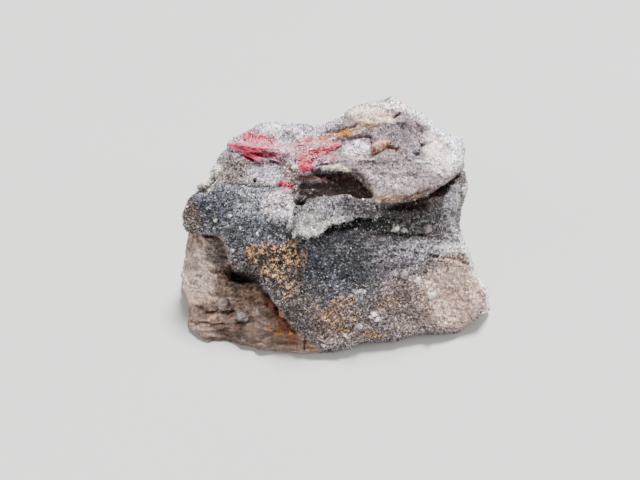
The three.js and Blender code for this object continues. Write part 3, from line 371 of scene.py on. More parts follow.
# Knobs, ledges, pits and cracks too fine for the solid: height in millimetres and shape.
RELIEF = (
    # The lump's knobs, ledges and cracks.
    (0.45, (0.9, (7.5, 12.6), (8.2, 13.2), (9.2, 13.3))), (-0.25, (0.6, (9.4, 12.8), (10.0, 12.6), (10.6, 12.5))),
    (-0.3, (0.5, (7.2, 11.7), (8.8, 12.4))), (-0.35, (14.2, 13.2, 0.4, 0.35, 0)), (-0.4, (13.3, 11.9, 0.6, 0.5, 0)),
    (-0.45, (0.5, (10.2, 16.9), (10.9, 17.4))), (0.25, (1.3, (13.4, 17.0), (14.8, 15.0), (15.4, 12.8), (16.2, 10.8))),
    (-0.12, (0.8, (12.9, 16.8), (13.8, 14.6), (14.2, 12.6))), (0.16, (0.35, (13.3, 10.8), (15.3, 10.7))),
    (0.18, (0.35, (14.8, 10.2), (17.2, 8.6))), (0.14, (0.4, (5.0, 11.0), (7.5, 10.9))),
    (0.35, (5.0, 12.5, 2.1, 1.5, 0)), (-0.35, (0.5, (3.2, 14.1), (6.8, 14.2), (7.1, 12.6))),
    (0.4, (1.0, (0.4, 13.7), (2.6, 13.9), (4.6, 14.5))), (-0.3, (0.5, (0.6, 14.7), (2.8, 15.0), (5.0, 15.8))),
    (0.3, (0.9, (5.2, 16.2), (7.4, 16.0), (9.0, 16.2))), (-0.3, (0.4, (2.4, 9.5), (3.6, 9.2), (5.4, 8.3))),
    (0.3, (0.7, (0.4, 9.9), (2.4, 10.0), (3.8, 9.6))), (0.3, (9.2, 7.6, 2.2, 0.8, -16)),
    (0.2, (1.0, (8.0, 9.6), (10.4, 9.0), (13.0, 9.4))),
    # The hollow between the lump and the plate.
    (0.2, (0.8, (-2.4, 7.9), (0.6, 7.9), (3.2, 7.6), (5.6, 6.8))), (-0.2, (0.7, (-2.6, 7.3), (1.0, 7.2), (5.0, 6.5))),
    (0.3, (0.4, (0.6, 8.5), (3.4, 8.4))), (-0.3, (0.5, (-3.5, 5.1), (-2.8, 4.8), (-2.0, 5.2))),
    # The foot's upper edge, and two bumps on the lump's far rim.
    (-0.2, (-10.2, -5.3, 2.4, 0.6, -10)), (0.5, (19.1, 13.9, 0.8, 0.5, 0)), (0.3, (10.0, 19.6, 1.4, 0.8, 0)),
    # The foot's pebbles and cracks.
    (0.4, (-13.1, -8.8, 0.9, 0.9, 0)), (0.4, (-10.6, -10.4, 0.8, 0.6, 10)), (0.4, (-8.8, -9.9, 0.9, 0.7, 0)),
    (0.35, (-7.6, -10.6, 0.7, 0.5, 0)), (0.4, (-14.6, -10.9, 1.1, 0.6, 0)),
    (-0.5, (0.4, (-13.6, -9.9), (-11.9, -9.7))), (-0.5, (0.4, (-15.6, -9.9), (-13.9, -10.0))),
    (-0.3, (0.35, (-18.4, -11.2), (-13.6, -11.6), (-9.0, -11.2))), (0.3, (1.0, (-4.4, -12.2), (-3.0, -13.2))),
    (-0.25, (0.4, (-2.2, -13.4), (-1.9, -14.0), (-2.1, -14.9))), (0.35, (-1.1, -14.6, 0.7, 0.6, 0)),
    (0.35, (1.3, (-7.8, -7.8), (-6.0, -9.2), (-4.8, -11.4))),
    # A nest of crystals on the drusy bed.
    (0.45, (5.3, -7.4, 1.0, 0.5, 20)), (0.35, (0.4, (4.4, -6.9), (5.6, -7.6), (6.6, -6.8))),
    # Under the lump, and the ridges in front of it.
    (-0.4, (0.6, (8.4, 1.0), (11.0, 0.7), (14.6, 0.8))), (0.4, (0.9, (9.4, 2.3), (12.4, 2.2), (14.6, 2.6))),
    (-0.2, (0.5, (8.6, 4.1), (11.6, 4.2), (14.4, 4.2))), (-0.5, (0.5, (17.4, 7.6), (19.2, 8.9), (20.2, 10.2))),
    (0.35, (0.6, (12.6, 5.0), (15.0, 5.3), (16.8, 6.2))), (-0.4, (17.3, 2.5, 0.6, 0.6, 0)),
    (0.25, (0.7, (15.4, -2.6), (18.0, -2.9), (20.2, -3.8))), (-0.3, (0.4, (10.4, -1.1), (13.4, -1.7), (16.0, -2.3))),
    # The edges of the dome and of the step over it.
    (0.3, (0.9, (-7.8, 8.0), (-5.4, 8.0))), (-0.3, (0.4, (-12.0, 7.7), (-9.0, 7.4), (-5.6, 7.5))),
    (-0.5, (0.5, (-16.0, 6.9), (-14.7, 8.1), (-14.1, 8.9))),
    (0.6, (0.6, (-16.4, 7.1), (-15.6, 8.2), (-14.7, 8.9), (-14.0, 10.0))), (-0.4, (-9.1, 8.2, 0.3, 0.3, 0)),
    # The shelf and the step.
    (0.5, (-6.4, 15.0, 1.3, 0.8, 0)), (-0.1, (0.6, (-9.4, 11.0), (-6.4, 11.0))),
    (0.3, (0.5, (-4.6, 9.2), (-4.4, 11.4))),
)

# Where a quartz crystal stands well clear of the druse, with its radius and how milky it is.
LARGE_CRYSTALS = (
    (10.3, -4.6, 0.5, 0.5), (11.7, -4.7, 0.5, 0.5), (9.8, -2.8, 0.28, 0.9), (13.5, -5.6, 0.46, 0.9),
    (15.4, -7.7, 0.5, 0.9), (7.5, -10.2, 0.5, 0.8), (7.9, -11.0, 0.4, 0.7), (5.4, -11.8, 0.5, 0.5),
    (15.4, -11.0, 0.45, 0.3), (18.3, -6.3, 0.3, 0.6), (3.4, -13.1, 0.35, 0.8), (10.4, 1.6, 0.5, 0.5),
    (11.6, 1.3, 0.42, 0.5), (15.0, 1.6, 0.5, 0.4), (17.4, 2.4, 0.5, 0.2), (-12.4, 3.3, 0.3, 0.8),
    (-14.4, 2.6, 0.3, 0.7), (-11.0, 1.7, 0.25, 0.9), (-8.6, 0.8, 0.25, 0.9), (-12.0, -1.4, 0.3, 0.9),
    (-3.5, 10.0, 0.4, 1.0), (-3.8, 14.6, 0.42, 0.6), (-1.4, 14.3, 0.5, 0.5), (-4.4, 13.2, 0.4, 0.8),
    (-2.4, 13.6, 0.4, 0.9), (-11.6, 14.1, 0.4, 0.7), (-0.4, 15.0, 0.36, 0.6),
)


def linear(code):
    """The linear colour of an sRGB hex code such as "#C9C1BE"."""
    channels = [int(code[i : i + 2], 16) / 255 for i in (1, 3, 5)]
    return tuple(c / 12.92 if c <= 0.04045 else ((c + 0.055) / 1.055) ** 2.4 for c in channels)


# ---- Settings a user would change ----
def colour_setting(name, description, code):
    """A colour property whose default is an sRGB hex code."""
    return FloatVectorProperty(
        name=name, description=description, subtype="COLOR", size=3, default=linear(code), min=0, max=1,
    )


class StoneSettings(bpy.types.PropertyGroup):
    """Sizes and colours of the quartz stone."""

    grid: FloatProperty(
        name="Surface grid", description="Spacing of the stone's surface points, in millimetres",
        default=0.235, min=0.2, max=1.0,
    )
    fresh: colour_setting("Fresh breaks", "Colour of the milky fresh breaks at the sides and back", "#B8AEAC")
    grey: colour_setting("Grey breaks", "Colour of the grey slabs at the sides and back", "#7A7779")
    weathered: colour_setting("Weathered breaks", "Colour of the tan weathered slabs at the sides and back", "#A9988C")
    iron: colour_setting("Iron stain", "Colour of the rusty nests between the crystals", "#CB9C6C")


class DruseSettings(bpy.types.PropertyGroup):
    """The crust of small crystals."""

    spacing: FloatProperty(
        name="Grain spacing", description="Closest distance between grains, in millimetres",
        default=0.18, min=0.15, max=2.0,
    )
    height: FloatProperty(
        name="Grain height", description="Height of a grain, in millimetres", default=0.28, min=0.05, max=2.0,
    )
    seed: IntProperty(name="Seed", description="Seed of the grains' places", default=7, min=0)


class ErythriteSettings(bpy.types.PropertyGroup):
    """The erythrite needles."""

    needles: IntProperty(
        name="Needles per fan", description="Needles in a fan's largest group, of which the other groups have a share",
        default=620, min=10, max=4000,
    )
    girth: FloatProperty(
        name="Needle width", description="Width of a needle, in millimetres", default=0.16, min=0.05, max=1.0,
    )
    root: colour_setting("Root colour", "Colour of the darkest needles and roots", "#80082E")
    body: colour_setting("Needle colour", "Colour of most of the needles", "#FF1E58")
    rose: colour_setting("Rose colour", "Colour of the paler needles", "#FF6C98")
    tip: colour_setting("Tip colour", "Colour of the palest tips", "#FDE9ED")


# ---- Places on the show face ----
def to_face(points):
    """The (u, v, w) of points in the object's frame, in millimetres."""
    away = points - FACE_CENTRE
    w = away @ FACE_W
    spread = 1 - w / SPLAY
    return (away @ FACE_U) / spread, (away @ FACE_V) / spread, w


def on_face(u, v, w):
    """The point in the object's frame at (u, v, w) of the show face."""
    spread = 1 - w / SPLAY
    return FACE_CENTRE + u * spread * FACE_U + v * spread * FACE_V + w * FACE_W


def line_distance(line, u, v):
    """Distance in millimetres from each (u, v) to a line through the given places."""
    nearest = np.full(u.shape, np.inf)
    for (au, av), (bu, bv) in zip(line, line[1:]):
        eu, ev = bu - au, bv - av
        along = np.clip(((u - au) * eu + (v - av) * ev) / (eu * eu + ev * ev), 0, 1)
        nearest = np.minimum(nearest, np.hypot(u - au - along * eu, v - av - along * ev))
    return nearest


def edge_distance(outline, u, v):
    """Distance in millimetres from each (u, v) to an outline, positive inside it."""
    closed = outline + outline[:1]
    nearest = line_distance(closed, u, v)
    within = np.zeros(u.shape, bool)
    for (au, av), (bu, bv) in zip(closed, closed[1:]):
        if av != bv:
            crosses = (av > v) != (bv > v)
            within ^= crosses & (u < (bu - au) * (v - av) / (bv - av) + au)
    return np.where(within, nearest, -nearest)


def ramp(low, high, values):
    """A smooth 0 to 1 as values pass from low to high."""
    t = np.clip((values - low) / (high - low), 0, 1)
    return t * t * (3 - 2 * t)


# ---- Repeatable roughness ----
def lattice_number(cells, which):
    """A number from 0 to 1 that belongs to each lattice cell."""
    x, y, z = (cells[:, i].astype(np.uint64) for i in range(3))
    mixed = x * np.uint64(73856093) ^ y * np.uint64(19349663) ^ z * np.uint64(83492791)
    mixed ^= np.uint64((which * 2654435761) % 2**32)
    for shift, factor in ((15, 2246822519), (13, 3266489917), (16, 668265263)):
        mixed = (mixed ^ (mixed >> np.uint64(shift))) * np.uint64(factor)
        mixed &= np.uint64(0xFFFFFFFF)
    return ((mixed >> np.uint64(8)) & np.uint64(0xFFFFFF)).astype(float) / 0x1000000


def swell(points, wave, seed):
    """Smooth bumps about wave millimetres apart, from about -1 to 1."""
    place = points / wave + 31.7 * seed
    cell = np.floor(place).astype(np.int64)
    part = place - cell
    fade = part**3 * (part * (part * 6 - 15) + 10)
    total = np.zeros(len(points))
    for corner in itertools.product((0, 1), repeat=3):
        corner = np.array(corner)
        slope = np.stack([lattice_number(cell + corner, 3 * seed + i) for i in range(3)], 1) * 2 - 1
        weight = np.prod(np.where(corner, fade, 1 - fade), axis=1)
        total += weight * ((part - corner) * slope).sum(1)
    return np.clip(total * 1.7, -1, 1)


def chips(points, size, seed):
    """Angular chips about size millimetres across: each point's chip number, its distance from the chip's middle,
    its distance from the chip's edge and its height on the chip's own leaning face, all as shares of size."""
    place = points / size
    cell = np.floor(place).astype(np.int64)
    nearest = np.full(len(points), np.inf)
    second = np.full(len(points), np.inf)
    number = np.zeros(len(points))
    lean = np.zeros(len(points))
    for step in itertools.product((-1, 0, 1), repeat=3):
        near = cell + np.array(step)
        middle = near + np.stack([lattice_number(near, seed + i) for i in range(3)], 1)
        away = ((middle - place) ** 2).sum(1)
        closer = away < nearest
        slope = np.stack([lattice_number(near, seed + 6 + i) for i in range(3)], 1) * 2 - 1
        lean = np.where(closer, ((place - middle) * slope).sum(1), lean)
        second = np.where(closer, nearest, np.minimum(second, away))
        number = np.where(closer, lattice_number(near, seed + 5), number)
        nearest = np.where(closer, away, nearest)
    return number, np.sqrt(nearest), np.sqrt(second) - np.sqrt(nearest), lean


# ---- Mesh helpers ----
def mesh_points(mesh):
    """The mesh's vertex positions, in its own units."""
    values = np.empty(len(mesh.vertices) * 3)
    mesh.vertices.foreach_get("co", values)
    return values.reshape(-1, 3)


def mesh_normals(mesh):
    """The mesh's vertex normals."""
    values = np.empty(len(mesh.vertices) * 3, np.float32)
    mesh.vertex_normals.foreach_get("vector", values)
    return values.reshape(-1, 3).astype(float)


def set_points(mesh, points):
    """Moves the mesh's vertices."""
    mesh.vertices.foreach_set("co", points.reshape(-1))
    mesh.update()


def keep_number(mesh, name, values):
    """Stores a number for each vertex."""
    attribute = mesh.attributes.new(name, "FLOAT", "POINT")
    attribute.data.foreach_set("value", values.astype(np.float32))


def keep_vector(mesh, name, values):
    """Stores a vector for each vertex."""
    attribute = mesh.attributes.new(name, "FLOAT_VECTOR", "POINT")
    attribute.data.foreach_set("vector", values.astype(np.float32).reshape(-1))


def keep_colour(mesh, name, values):
    """Stores a linear colour for each vertex."""
    attribute = mesh.color_attributes.new(name, "FLOAT_COLOR", "POINT")
    rgba = np.concatenate([values, np.ones((len(values), 1))], 1)
    attribute.data.foreach_set("color", rgba.astype(np.float32).reshape(-1))


def new_object(name, mesh):
    """An object at the origin that shows the mesh."""
    piece = bpy.data.objects.new(name, mesh)
    bpy.context.scene.collection.objects.link(piece)
    return piece


def built_mesh(shape, name):
    """A mesh made from a bmesh, which is freed."""
    mesh = bpy.data.meshes.new(name)
    shape.to_mesh(mesh)
    shape.free()
    return mesh


def merged_copy(node, scale):
    """A closed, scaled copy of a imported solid's mesh, with its loose triangles joined."""
    shape = bmesh.new()
    shape.from_mesh(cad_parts[node].data)
    bmesh.ops.scale(shape, vec=(scale,) * 3, verts=shape.verts)
    bmesh.ops.remove_doubles(shape, verts=shape.verts, dist=1e-6 * scale)
    return built_mesh(shape, node + "_copy")


def finished_mesh(piece, name):
    """The object's mesh with its modifiers applied, and the object itself removed."""
    bpy.context.view_layer.update()
    graph = bpy.context.evaluated_depsgraph_get()
    mesh = bpy.data.meshes.new_from_object(piece.evaluated_get(graph), preserve_all_data_layers=True, depsgraph=graph)
    mesh.name = name
    bpy.data.objects.remove(piece)
    return mesh


def stone_surface():
    """The quartz skin's surface as a tree that rays can be cast on, in millimetres."""
    skin = bpy.data.objects["quartz_stone"].data
    points = mesh_points(skin) / MM
    faces = [tuple(face.vertices) for face in skin.polygons]
    return BVHTree.FromPolygons([Vector(p) for p in points], faces)


def surface_at(tree, u, v):
    """The point and normal where the stone's surface is met at a place on the show face, or just inside its edge."""
    for share in (1.0, 0.97, 0.94, 0.9):
        inward = on_face(u * share, v * share, 0.0) - VIEWPOINT
        point, normal, _, _ = tree.ray_cast(Vector(VIEWPOINT), Vector(inward).normalized())
        if point is not None:
            return np.array(point), np.array(normal)
    raise RuntimeError(f"no stone at {u:.1f}, {v:.1f}")


# ---- Nodes ----
def fill_sockets(tree, node, sockets):
    """Gives a node's inputs their links and values."""
    for name, value in sockets.items():
        if isinstance(value, bpy.types.NodeSocket):
            tree.links.new(value, node.inputs[name])
        else:
            node.inputs[name].default_value = value


def add_node(tree, kind, sockets=None, **settings):
    """Adds one node with its settings, values and links, and returns it."""
    node = tree.nodes.new(kind)
    for name, value in settings.items():
        setattr(node, name, value)
    fill_sockets(tree, node, sockets or {})
    return node


def new_material(name):
    """An empty node material, its Principled shader and its tree."""
    material = bpy.data.materials.new(name)
    material.use_nodes = True
    tree = material.node_tree
    return material, tree.nodes["Principled BSDF"], tree


def threads(tree, place, scale, thin, thick):
    """A socket that is 1 along fine winding threads and 0 between them."""
    noise = add_node(tree, "ShaderNodeTexNoise", {"Vector": place, "Scale": scale, "Detail": 1.0, "Distortion": 0.5})
    off = add_node(tree, "ShaderNodeMath", {0: noise.outputs["Fac"], 1: 0.5}, operation="SUBTRACT")
    far = add_node(tree, "ShaderNodeMath", {0: off.outputs[0]}, operation="ABSOLUTE")
    return add_node(tree, "ShaderNodeMapRange", {0: far.outputs[0], 1: thin, 2: thick, 3: 1.0, 4: 0.0}).outputs[0]


def stone_base_colour(tree, iron):
    """The quartz's colour socket: the bed's own colour, with its fine layers and its rusty nests of iron oxide."""
    colour = add_node(tree, "ShaderNodeAttribute", attribute_name="stone_colour")
    nests = add_node(tree, "ShaderNodeAttribute", attribute_name="rusty_nests")
    layers = add_node(tree, "ShaderNodeAttribute", attribute_name="stone_layers")
    place = add_node(tree, "ShaderNodeTexCoord").outputs["Object"]
    # Growth layers about 0.35 mm thick, drawn out along the bed.
    drawn = add_node(tree, "ShaderNodeVectorMath", {0: place, 1: (0.16, 0.8, 1.3)}, operation="MULTIPLY")
    bands = add_node(tree, "ShaderNodeTexNoise", {"Vector": drawn.outputs[0], "Scale": 2600.0, "Detail": 2.0})
    shade = add_node(tree, "ShaderNodeMapRange", {0: bands.outputs["Fac"], 1: 0.36, 2: 0.64, 3: 0.65, 4: 1.35})
    level = add_node(
        tree, "ShaderNodeMix", {0: layers.outputs["Fac"], 2: 1.0, 3: shade.outputs[0]}, data_type="FLOAT",
    )
    banded = add_node(
        tree, "ShaderNodeVectorMath", {0: colour.outputs["Color"], "Scale": level.outputs[0]}, operation="SCALE",
    )
    # Limonite in winding threads about 0.15 mm wide, gathered in clumps about 1 mm across.
    worms = threads(tree, place, 1500.0, 0.05, 0.1)
    clumps = add_node(tree, "ShaderNodeTexNoise", {"Vector": place, "Scale": 900.0, "Detail": 1.0})
    shown = add_node(tree, "ShaderNodeMapRange", {0: clumps.outputs["Fac"], 1: 0.34, 2: 0.44, 3: 0.0, 4: 1.0})
    both = add_node(tree, "ShaderNodeMath", {0: shown.outputs[0], 1: worms}, operation="MULTIPLY")
    share = add_node(tree, "ShaderNodeMath", {0: both.outputs[0], 1: nests.outputs["Fac"]}, operation="MULTIPLY")
    crumbs = add_node(tree, "ShaderNodeTexNoise", {"Vector": place, "Scale": 3400.0, "Detail": 0.0})
    tone = add_node(tree, "ShaderNodeMapRange", {0: crumbs.outputs["Fac"], 1: 0.35, 2: 0.65, 3: 0.45, 4: 1.9})
    rust = add_node(tree, "ShaderNodeVectorMath", {0: iron, "Scale": tone.outputs[0]}, operation="SCALE")
    stained = add_node(
        tree, "ShaderNodeMix", {0: share.outputs[0], 6: banded.outputs[0], 7: rust.outputs[0]}, data_type="RGBA",
    )
    return stained.outputs[2], place


def vein_quartz(settings):
    """Milky vein quartz, broken and partly crusted: sugary breaks that glint facet by facet, and light that goes
    a little way in."""
    material, shader, tree = new_material("vein_quartz_broken")
    colour, place = stone_base_colour(tree, settings.iron)
    crust = add_node(tree, "ShaderNodeAttribute", attribute_name="stone_crust")
    gloss = add_node(tree, "ShaderNodeAttribute", attribute_name="stone_gloss")
    # Facets about 0.2 mm across, each with its own shade and its own tilt; the rare brightest facets are painted
    # glints.
    facets = add_node(tree, "ShaderNodeTexVoronoi", {"Vector": place, "Scale": 5200.0, "Randomness": 1.0})
    parts = add_node(tree, "ShaderNodeSeparateXYZ", {0: facets.outputs["Color"]})
    rare_glints = add_node(tree, "ShaderNodeMath", {0: parts.outputs["X"], 1: 6.0}, operation="POWER")
    shade = add_node(tree, "ShaderNodeMath", {0: rare_glints.outputs[0], 1: 4.2, 2: 0.3}, operation="MULTIPLY_ADD")
    # Thin rims of the crust's grains catch the light as a net of pale threads.
    rims = threads(tree, place, 2300.0, 0.02, 0.11)
    grainy = add_node(tree, "ShaderNodeMath", {0: rims, 1: 0.85, 2: shade.outputs[0]}, operation="MULTIPLY_ADD")
    much = add_node(tree, "ShaderNodeMapRange", {0: crust.outputs["Fac"], 1: 0.1, 2: 1.0, 3: 0.12, 4: 1.0})
    level = add_node(tree, "ShaderNodeMix", {0: much.outputs[0], 2: 1.0, 3: grainy.outputs[0]}, data_type="FLOAT")
    tint = add_node(tree, "ShaderNodeVectorMath", {0: colour, "Scale": level.outputs[0]}, operation="SCALE")
    rough = add_node(tree, "ShaderNodeMapRange", {0: gloss.outputs["Fac"], 1: 0.0, 2: 1.0, 3: 0.6, 4: 0.22})
    # A tilted plane on each facet, over sugary grain about 0.12 mm across.
    scaled = add_node(tree, "ShaderNodeVectorMath", {0: place, "Scale": 5200.0}, operation="SCALE")
    off = add_node(
        tree, "ShaderNodeVectorMath", {0: scaled.outputs[0], 1: facets.outputs["Position"]}, operation="SUBTRACT",
    )
    lean = add_node(
        tree, "ShaderNodeVectorMath", {0: facets.outputs["Color"], 1: (0.5, 0.5, 0.5)}, operation="SUBTRACT",
    )
    plane = add_node(tree, "ShaderNodeVectorMath", {0: off.outputs[0], 1: lean.outputs[0]}, operation="DOT_PRODUCT")
    sugar = add_node(tree, "ShaderNodeTexNoise", {"Vector": place, "Scale": 8000.0, "Detail": 2.0, "Roughness": 0.6})
    height = add_node(
        tree, "ShaderNodeMath", {0: sugar.outputs["Fac"], 1: 0.5, 2: plane.outputs["Value"]},
        operation="MULTIPLY_ADD",
    )
    bump = add_node(tree, "ShaderNodeBump", {"Strength": 0.9, "Distance": 0.00024, "Height": height.outputs[0]})
    fill_sockets(tree, shader, {
        "Base Color": tint.outputs[0], "Roughness": rough.outputs[0], "Normal": bump.outputs["Normal"],
        "IOR": QUARTZ_IOR, "Subsurface Weight": 0.12, "Subsurface Radius": (1.0, 0.9, 0.8),
        "Subsurface Scale": 0.0004,
    })
    return material


def grown_quartz(settings):
    """Clear to milky quartz grown as small pointed crystals: bright glassy facets over the colour of the bed."""
    material, shader, tree = new_material("quartz_druse_grown")
    colour, _ = stone_base_colour(tree, settings.iron)
    tone = add_node(tree, "ShaderNodeAttribute", attribute_name="grain_tone")
    bright = add_node(tree, "ShaderNodeMath", {0: tone.outputs["Fac"], 1: 2.0}, operation="POWER")
    lit = add_node(tree, "ShaderNodeMath", {0: bright.outputs[0], 1: 2.5, 2: 0.22}, operation="MULTIPLY_ADD")
    own = add_node(tree, "ShaderNodeVectorMath", {0: colour, "Scale": lit.outputs[0]}, operation="SCALE")
    few = add_node(tree, "ShaderNodeMath", {0: tone.outputs["Fac"], 1: 4.0}, operation="POWER")
    milky = add_node(
        tree, "ShaderNodeMix", {0: few.outputs[0], 6: own.outputs[0], 7: (*linear("#F4F1F2"), 1)}, data_type="RGBA",
    )
    fill_sockets(tree, shader, {
        "Base Color": milky.outputs[2], "Roughness": 0.12, "IOR": QUARTZ_IOR, "Transmission Weight": 0.15,
    })
    return material


def erythrite(settings):
    """Erythrite grown as flattened needles: rose to crimson, darker at the roots, pale and glassy at the tips."""
    material, shader, tree = new_material("erythrite_needles_grown")
    reach = add_node(tree, "ShaderNodeAttribute", attribute_name="needle_reach")
    tone = add_node(tree, "ShaderNodeAttribute", attribute_name="needle_tone")
    place = add_node(tree, "ShaderNodeTexCoord").outputs["Object"]
    # Cloudy patches along the needles, about 0.3 mm long.
    cloud = add_node(tree, "ShaderNodeTexNoise", {"Vector": place, "Scale": 3000.0, "Detail": 1.0})
    uneven = add_node(tree, "ShaderNodeMapRange", {0: cloud.outputs["Fac"], 1: 0.3, 2: 0.7, 3: -0.12, 4: 0.12})
    paler = add_node(
        tree, "ShaderNodeMath", {0: reach.outputs["Fac"], 1: 0.22, 2: uneven.outputs[0]}, operation="MULTIPLY_ADD",
    )
    level = add_node(tree, "ShaderNodeMath", {0: tone.outputs["Fac"], 1: paler.outputs[0]}, operation="ADD")
    blend = add_node(tree, "ShaderNodeValToRGB", {"Fac": level.outputs[0]})
    stops = blend.color_ramp.elements
    stops[0].position = 0.05
    stops[0].color = (*settings.root, 1)
    stops[1].position = 1.0
    stops[1].color = (*settings.tip, 1)
    for position, colour in ((0.3, settings.body), (0.62, settings.rose)):
        stops.new(position).color = (*colour, 1)
    fill_sockets(tree, shader, {
        "Base Color": blend.outputs["Color"], "Roughness": 0.3, "IOR": ERYTHRITE_IOR, "Subsurface Weight": 0.08,
        "Subsurface Radius": (1.0, 0.3, 0.4), "Subsurface Scale": 0.0003,
    })
    return material


def pale_floor():
    """Matt pale studio board."""
    material, shader, tree = new_material("studio_board_matt")
    place = add_node(tree, "ShaderNodeTexCoord").outputs["Object"]
    mottle = add_node(tree, "ShaderNodeTexNoise", {"Vector": place, "Scale": 30.0, "Detail": 2.0})
    blend = add_node(tree, "ShaderNodeValToRGB", {"Fac": mottle.outputs["Fac"]})
    blend.color_ramp.elements[0].color = (*linear("#C6C5C3"), 1)
    blend.color_ramp.elements[1].color = (*linear("#CAC9C7"), 1)
    fill_sockets(tree, shader, {"Base Color": blend.outputs["Color"], "Roughness": 0.8})
    return material


# ---- The quartz stone ----
def inside(shape, u, v, edge=(0.6, 1.1)):
    """How far each (u, v) lies in a spot or trail, from 0 outside it to 1 in its middle."""
    if isinstance(shape[1], tuple):
        wide, *line = shape
        away = 2 * line_distance(line, u, v) / wide
    else:
        cu, cv, ru, rv, turn = shape
        cos, sin = math.cos(math.radians(turn)), math.sin(math.radians(turn))
        du, dv = u - cu, v - cv
        away = np.hypot((du * cos + dv * sin) / ru, (dv * cos - du * sin) / rv)
    return 1 - ramp(*edge, away)


def bed_shares(points, u, v, facing):
    """Each bed's share of each surface point, in the beds' order."""
    ragged_u = u + 0.14 * swell(points, 0.8, 43)
    ragged_v = v + 0.14 * swell(points, 0.5, 47)
    return [ramp(-bed.soft, bed.soft, edge_distance(bed.outline, ragged_u, ragged_v)) * facing for bed in BEDS]


def relief(points, u, v, facing, behind, shares):
    """How far each surface point stands out, in millimetres, by the bed that it is on."""
    crust = np.full(u.shape, 0.25)
    for bed, share in zip(BEDS, shares):
        crust = crust * (1 - share) + bed.crust * share
    foot, lump = shares[0], shares[-1]
    # Grown points on the crust; blocks, shards and slabs between cracks where the quartz is broken.
    grain, middle, _, _ = chips(points, 0.6, 11)
    grown = 0.17 * (0.55 - middle) + 0.1 * (grain - 0.5)
    _, _, crack, _ = chips(points, *CRACKS)
    blocks, _, block_edge, block_lean = chips(points, 1.5, 37)
    shards, _, shard_edge, _ = chips(points, 0.75, 83)
    _, _, _, slab_lean = chips(points, *SLABS)
    broken = 0.3 * (blocks - 0.5) * ramp(0.0, 0.2, block_edge) + 0.16 * (shards - 0.5) * ramp(0.0, 0.2, shard_edge)
    broken -= 0.1 * (1 - ramp(0.0, 0.1, crack)) * (1 - 0.6 * facing)
    broken *= 1 - 0.55 * lump
    lift = 0.1 * swell(points, 1.25, 1) + 0.06 * swell(points, 0.55, 2) + crust * grown + (1 - crust) * broken
    lift += behind * (0.75 * slab_lean + 0.2 * block_lean)
    layers = swell(points * np.array((0.22, 1.0, 1.9)), 0.75, 5)
    lift += foot * 0.16 * layers + lump * 0.07 * layers
    drawn_u = u + 0.16 * swell(points, 0.9, 97)
    drawn_v = v + 0.16 * swell(points, 0.9, 101)
    for height, shape in RELIEF:
        lift += height * inside(shape, drawn_u, drawn_v, (0.1, 1.15)) * facing
    return lift


def stone_colours(settings, points, u, v, facing, shares, bulge):
    """The colour, crust, rusty nests, gloss and layering of each surface point."""
    foot, drusy, lump = shares[0], shares[1], shares[-1]
    wave = swell(points, 2.4, 41)
    small = swell(points, 0.8, 43)
    tiny = swell(points, 0.42, 47)
    number, _, _, _ = chips(points, 0.42, 53)
    slab, _, slab_edge, _ = chips(points, *SLABS)
    warp_u = u + 0.22 * small + 0.25 * wave + 0.1 * tiny
    warp_v = v + 0.22 * swell(points, 0.8, 59) + 0.25 * swell(points, 2.4, 61) + 0.1 * swell(points, 0.42, 79)
    layers = swell(points * np.array((0.22, 1.0, 2.2)), 0.62, 71)
    kinds = {
        "plain": 1.0,
        "speckled": ramp(-0.15, 0.35, tiny + 0.8 * (number - 0.5)),
        "streaked": ramp(-0.2, 0.4, layers),
        "dark streaks": ramp(0.0, 0.5, -layers),
    }
    colour = np.empty((len(points), 3))
    nests = np.zeros(len(points))
    crust = np.full(len(points), 0.25)

    def lay(new, share):
        share = np.clip(share, 0, 1)[:, None]
        colour[:] = colour * (1 - share) + np.asarray(new) * share

    # Broken sides and back: fresh milky breaks and weathered tan ones, dirt in the layers, rust beside the cracks.
    broad = swell(points * np.array((0.4, 0.7, 1.5)), 7.0, 63)
    _, _, crack, _ = chips(points, *CRACKS)
    colour[:] = linear("#A69E9B")
    lay(settings.fresh, ramp(-0.3, 0.7, wave + 0.4 * broad))
    lay(settings.grey, ramp(0.2, 0.8, broad + 0.8 * (slab - 0.5)) * 0.75)
    lay(settings.weathered, ramp(0.0, 0.7, 1.2 * (slab - 0.5) - broad + 0.3 * small) * 0.85)
    lay(linear("#8F6A4A"), (1 - ramp(0.0, 0.55, crack)) * ramp(0.15, 0.6, swell(points, 5.5, 67)) * 0.6)
    lay(linear("#5C5048"), ramp(0.15, 0.7, -layers) * 0.45)
    lay(linear("#3E3530"), (1 - ramp(0.02, 0.09, np.minimum(crack, slab_edge))) * ramp(-0.1, 0.5, wave) * 0.5)
    for bed, share in zip(BEDS, shares):
        lay(linear(bed.colour), share)
        nests *= 1 - share
        crust = crust * (1 - share) + bed.crust * share
        for mark in bed.marks:
            here = share * mark.share * inside(mark.shape, warp_u, warp_v)
            if mark.colour == "nests":
                nests = np.maximum(nests, here)
            elif mark.colour == "crust":
                crust = np.maximum(crust, here * kinds[mark.kind])
            elif mark.colour == "bare":
                crust = crust * (1 - here * kinds[mark.kind])
            else:
                lay(linear(mark.colour), here * kinds[mark.kind])
    # Each chip has its own shade, worn edges are paler, and hollows get painted shade.
    colour *= (0.86 + 0.28 * number)[:, None]
    lay(linear("#DCD7D2"), ramp(0.06, 0.26, bulge) * (0.4 - 0.25 * foot))
    lay(linear("#2E2622"), ramp(0.05, 0.3, -bulge) * 0.5)
    # Wet-looking depth: dark beds darker and white ones whiter than their codes.
    colour = DEPTH_GAIN * colour**DEPTH_POWER
    gloss = np.clip(0.3 + 0.6 * crust + 0.2 * tiny, 0, 1)
    banded = np.clip(0.5 * (1 - facing) + foot + 0.75 * drusy + 0.25 * lump, 0, 1)
    return colour, crust, nests, gloss, banded


